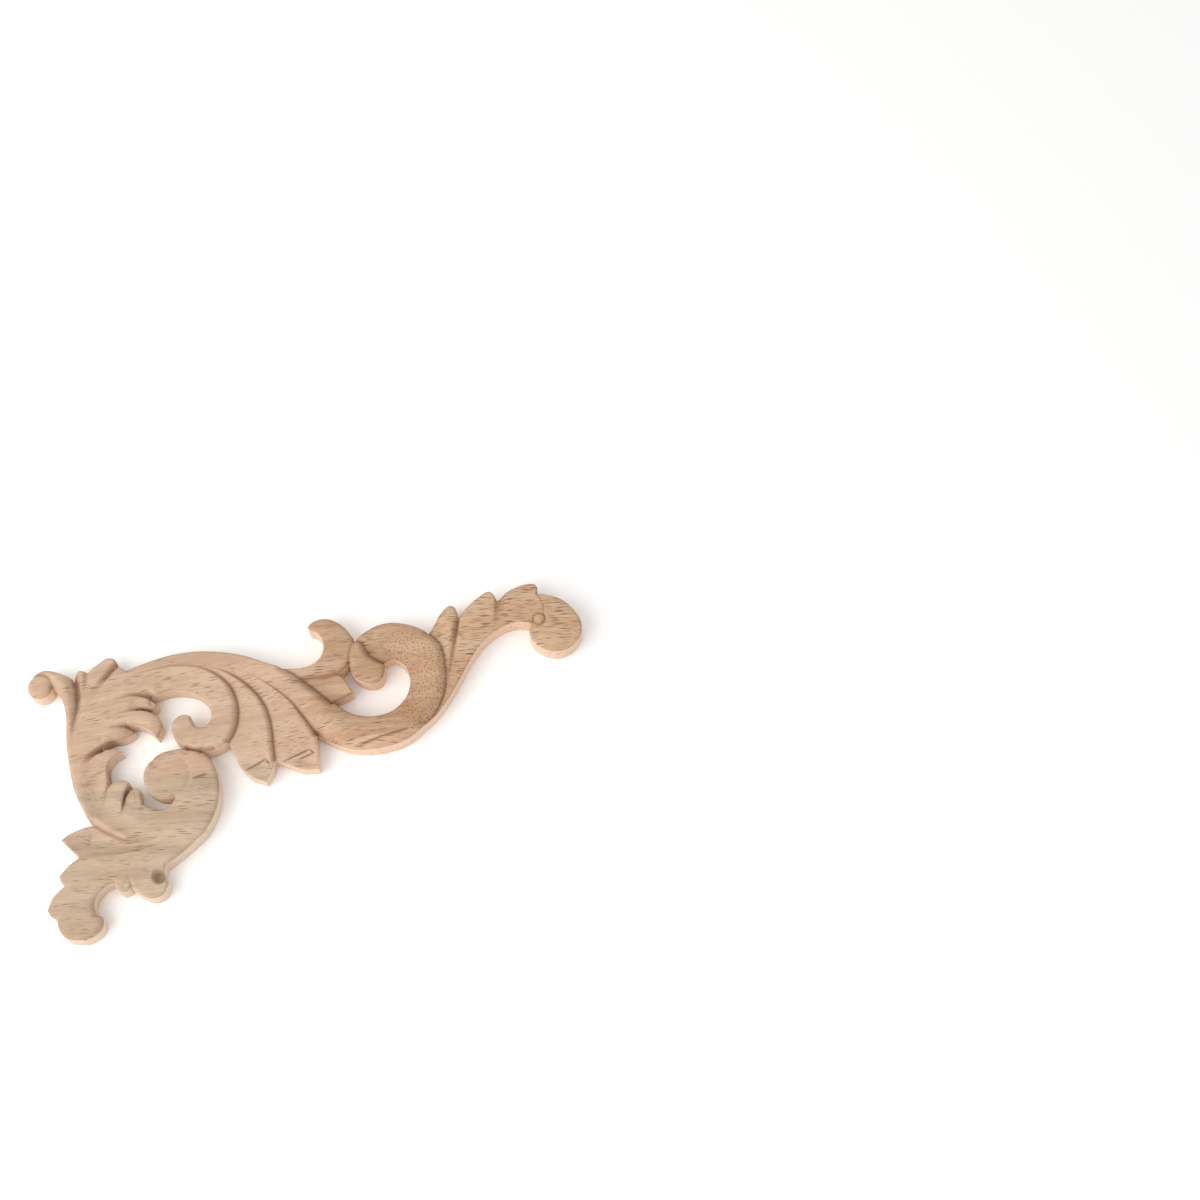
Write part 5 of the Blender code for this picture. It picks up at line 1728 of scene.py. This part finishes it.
    def vessels(self, tree: NodeTree, grain: NodeSocket, place: NodeSocket, along: NodeSocket) -> NodeSocket:
        """Open vessels: dashes along the grain, and dots where the cut crosses the grain.

        Args:
            tree: The node tree.
            grain: The coordinates along the grain, in millimetres.
            place: The plain coordinates in millimetres.
            along: The distance along the long arm, in millimetres.

        Returns:
            How much of each place is open vessel, from 0 to 1.
        """
        dashes, pricks = (each.share(tree, grain, along) for each in (self.dashes, self.pricks))
        dashes = add_node(tree, "ShaderNodeMath", {"operation": "MAXIMUM", 0: dashes, 1: pricks})[0]
        dots = self.dots.share(tree, place, along)
        x, y, radius = self.end_grain
        flat = add_node(tree, "ShaderNodeVectorMath", {"operation": "MULTIPLY", 0: place, 1: (1, 1, 0)})[0]
        settings = {"operation": "DISTANCE", 0: flat, 1: (x, y, 0)}
        away = add_node(tree, "ShaderNodeVectorMath", settings)["Value"]
        settings = {"From Min": radius, "From Max": radius - self.end_grain_blur}
        within = add_node(tree, "ShaderNodeMapRange", {"Value": away, **settings})[0]
        start, end = self.end_grain_from
        begun = add_node(tree, "ShaderNodeMapRange", {"Value": along, "From Min": start, "From Max": end})[0]
        patch = add_node(tree, "ShaderNodeMath", {"operation": "MULTIPLY", 0: within, 1: begun})[0]
        return add_node(tree, "ShaderNodeMix", {"data_type": "FLOAT", 0: patch, 2: dashes, 3: dots})[0]

    def surface(self, tree: NodeTree, grain: NodeSocket, vessels: NodeSocket) -> NodeSocket:
        """Raised fibres a few hundredths of a millimetre high, with the vessels sunk in.

        Args:
            tree: The node tree.
            grain: The coordinates along the grain, in millimetres.
            vessels: How much of each place is open vessel.

        Returns:
            The direction that the surface faces.
        """
        fuzz = self.fuzz.noise(tree, grain)
        settings = {"operation": "MULTIPLY_ADD", 0: vessels, 1: -self.open_depth, 2: fuzz}
        level = add_node(tree, "ShaderNodeMath", settings)[0]
        settings = {"Height": level, "Strength": self.fuzz_strength, "Distance": self.fuzz_height * MM}
        return add_node(tree, "ShaderNodeBump", settings)[0]


@dataclass(frozen=True)
class Studio:
    """A pale floor and soft light from the upper left, as on a light table.

    Args:
        floor_colour: Of the floor.
        floor_size: Its side, in metres.
        floor_drop: How far it is under the flat back, in metres, so that the two don't flicker.
        floor_roughness: Of the matt paper.
        world_strength: How bright the white surroundings are.
        key_place: Where the large soft light is, in metres.
        key_side: Its side, in metres.
        key_power: Its power, in watts.
    """

    floor_colour: str = "#FBFBFA"
    floor_size: float = 6.0
    floor_drop: float = 0.0001
    floor_roughness: float = 0.9
    world_strength: float = 0.82
    key_place: tuple[float, float, float] = (-0.61, -0.28, 0.62)
    key_side: float = 0.9
    key_power: float = 6.8

    def build(self) -> None:
        """Make the floor, the surroundings and the lights."""
        half = self.floor_size / 2
        corners = [(-half, -half, 0), (half, -half, 0), (half, half, 0), (-half, half, 0)]
        mesh = bpy.data.meshes.new("floor")
        mesh.from_pydata(corners, [], [(0, 1, 2, 3)])
        floor = bpy.data.objects.new("floor", mesh)
        floor.location.z = -self.floor_drop
        bpy.context.scene.collection.objects.link(floor)
        material = bpy.data.materials.new("matt_white_paper_sweep")
        material.use_nodes = True
        shader = material.node_tree.nodes["Principled BSDF"]
        shader.inputs["Base Color"].default_value = linear(self.floor_colour)
        shader.inputs["Roughness"].default_value = self.floor_roughness
        mesh.materials.append(material)

        world = bpy.data.worlds.new("white_surroundings")
        world.use_nodes = True
        world.node_tree.nodes["Background"].inputs["Color"].default_value = (1, 1, 1, 1)
        world.node_tree.nodes["Background"].inputs["Strength"].default_value = self.world_strength
        bpy.context.scene.world = world
        self.area_light("key", self.key_place, self.key_side, self.key_power)
        bpy.context.scene.view_settings.view_transform = "Standard"

    def area_light(self, name: str, place: tuple[float, float, float], size: float, power: float) -> None:
        """Add a square soft light that faces the piece.

        Args:
            name: The light's name.
            place: Where it is, in metres.
            size: Its side, in metres.
            power: Its power, in watts.
        """
        light = bpy.data.lights.new(name, "AREA")
        light.size = size
        light.energy = power
        lamp = bpy.data.objects.new(name, light)
        lamp.location = place
        lamp.rotation_euler = (-Vector(place)).to_track_quat("-Z", "Y").to_euler()
        bpy.context.scene.collection.objects.link(lamp)


@dataclass(frozen=True)
class PhotoCamera:
    """The camera where the photograph was taken from.

    Args:
        place: The camera's place in the row frame, in metres.
        heading: The compass turn of its view from +Y towards +X, in degrees.
        pitch: How far it looks down, in degrees.
        roll: How far it is tilted about its view, in degrees.
        focal_pixels: The focal length, in pixels of the image.
        image_pixels: The width of the square image.
        sensor: The width of the sensor, in millimetres.
        nearest: The nearest thing that the camera shows, in metres.
    """

    place: tuple[float, float, float] = (0.06903, -0.27136, 0.72954)
    heading: float = 12.0
    pitch: float = 67.684
    roll: float = -0.498
    focal_pixels: float = 2131.8
    image_pixels: float = 1200.0
    sensor: float = 36.0
    nearest: float = 0.01

    def build(self) -> None:
        """Make the camera and look through it."""
        turn, down, roll = (math.radians(angle) for angle in (self.heading, self.pitch, self.roll))
        right = Vector((math.cos(turn), -math.sin(turn), 0))
        ahead = Vector((math.cos(down) * math.sin(turn), math.cos(down) * math.cos(turn), -math.sin(down)))
        below = ahead.cross(right)
        side = math.cos(roll) * right + math.sin(roll) * below
        up = side.cross(ahead)
        data = bpy.data.cameras.new("photo_camera")
        data.sensor_width = self.sensor
        data.lens = data.sensor_width * self.focal_pixels / self.image_pixels
        data.clip_start = self.nearest
        camera = bpy.data.objects.new("photo_camera", data)
        rotation = Matrix((side, up, -ahead)).transposed().to_4x4()
        camera.matrix_world = Matrix.Translation(self.place) @ rotation
        bpy.context.scene.collection.objects.link(camera)
        bpy.context.scene.camera = camera


def main() -> None:
    """Build the carved piece, the studio and the camera, in that order."""
    logging.basicConfig(level=logging.INFO, format="%(message)s")
    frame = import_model()
    log.info("frame: %s", ", ".join(sorted(frame["nodes"])))

    groups = (LongArm(), Middle(), ShortArm(), Acanthus(), Corner())
    forms = [form for group in groups for form in group.forms()]
    piece = CarvedApplique(forms)
    applique = piece.build()
    piece.dress(applique, Rubberwood())
    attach(applique, "root")
    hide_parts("applique")
    log.info("%s: %d forms, %d faces", applique.name, len(forms), len(applique.data.polygons))

    Studio().build()
    log.info("studio: floor and lights")
    PhotoCamera().build()
    log.info("camera: at the photograph's place")


if __name__ == "__main__":
    main()
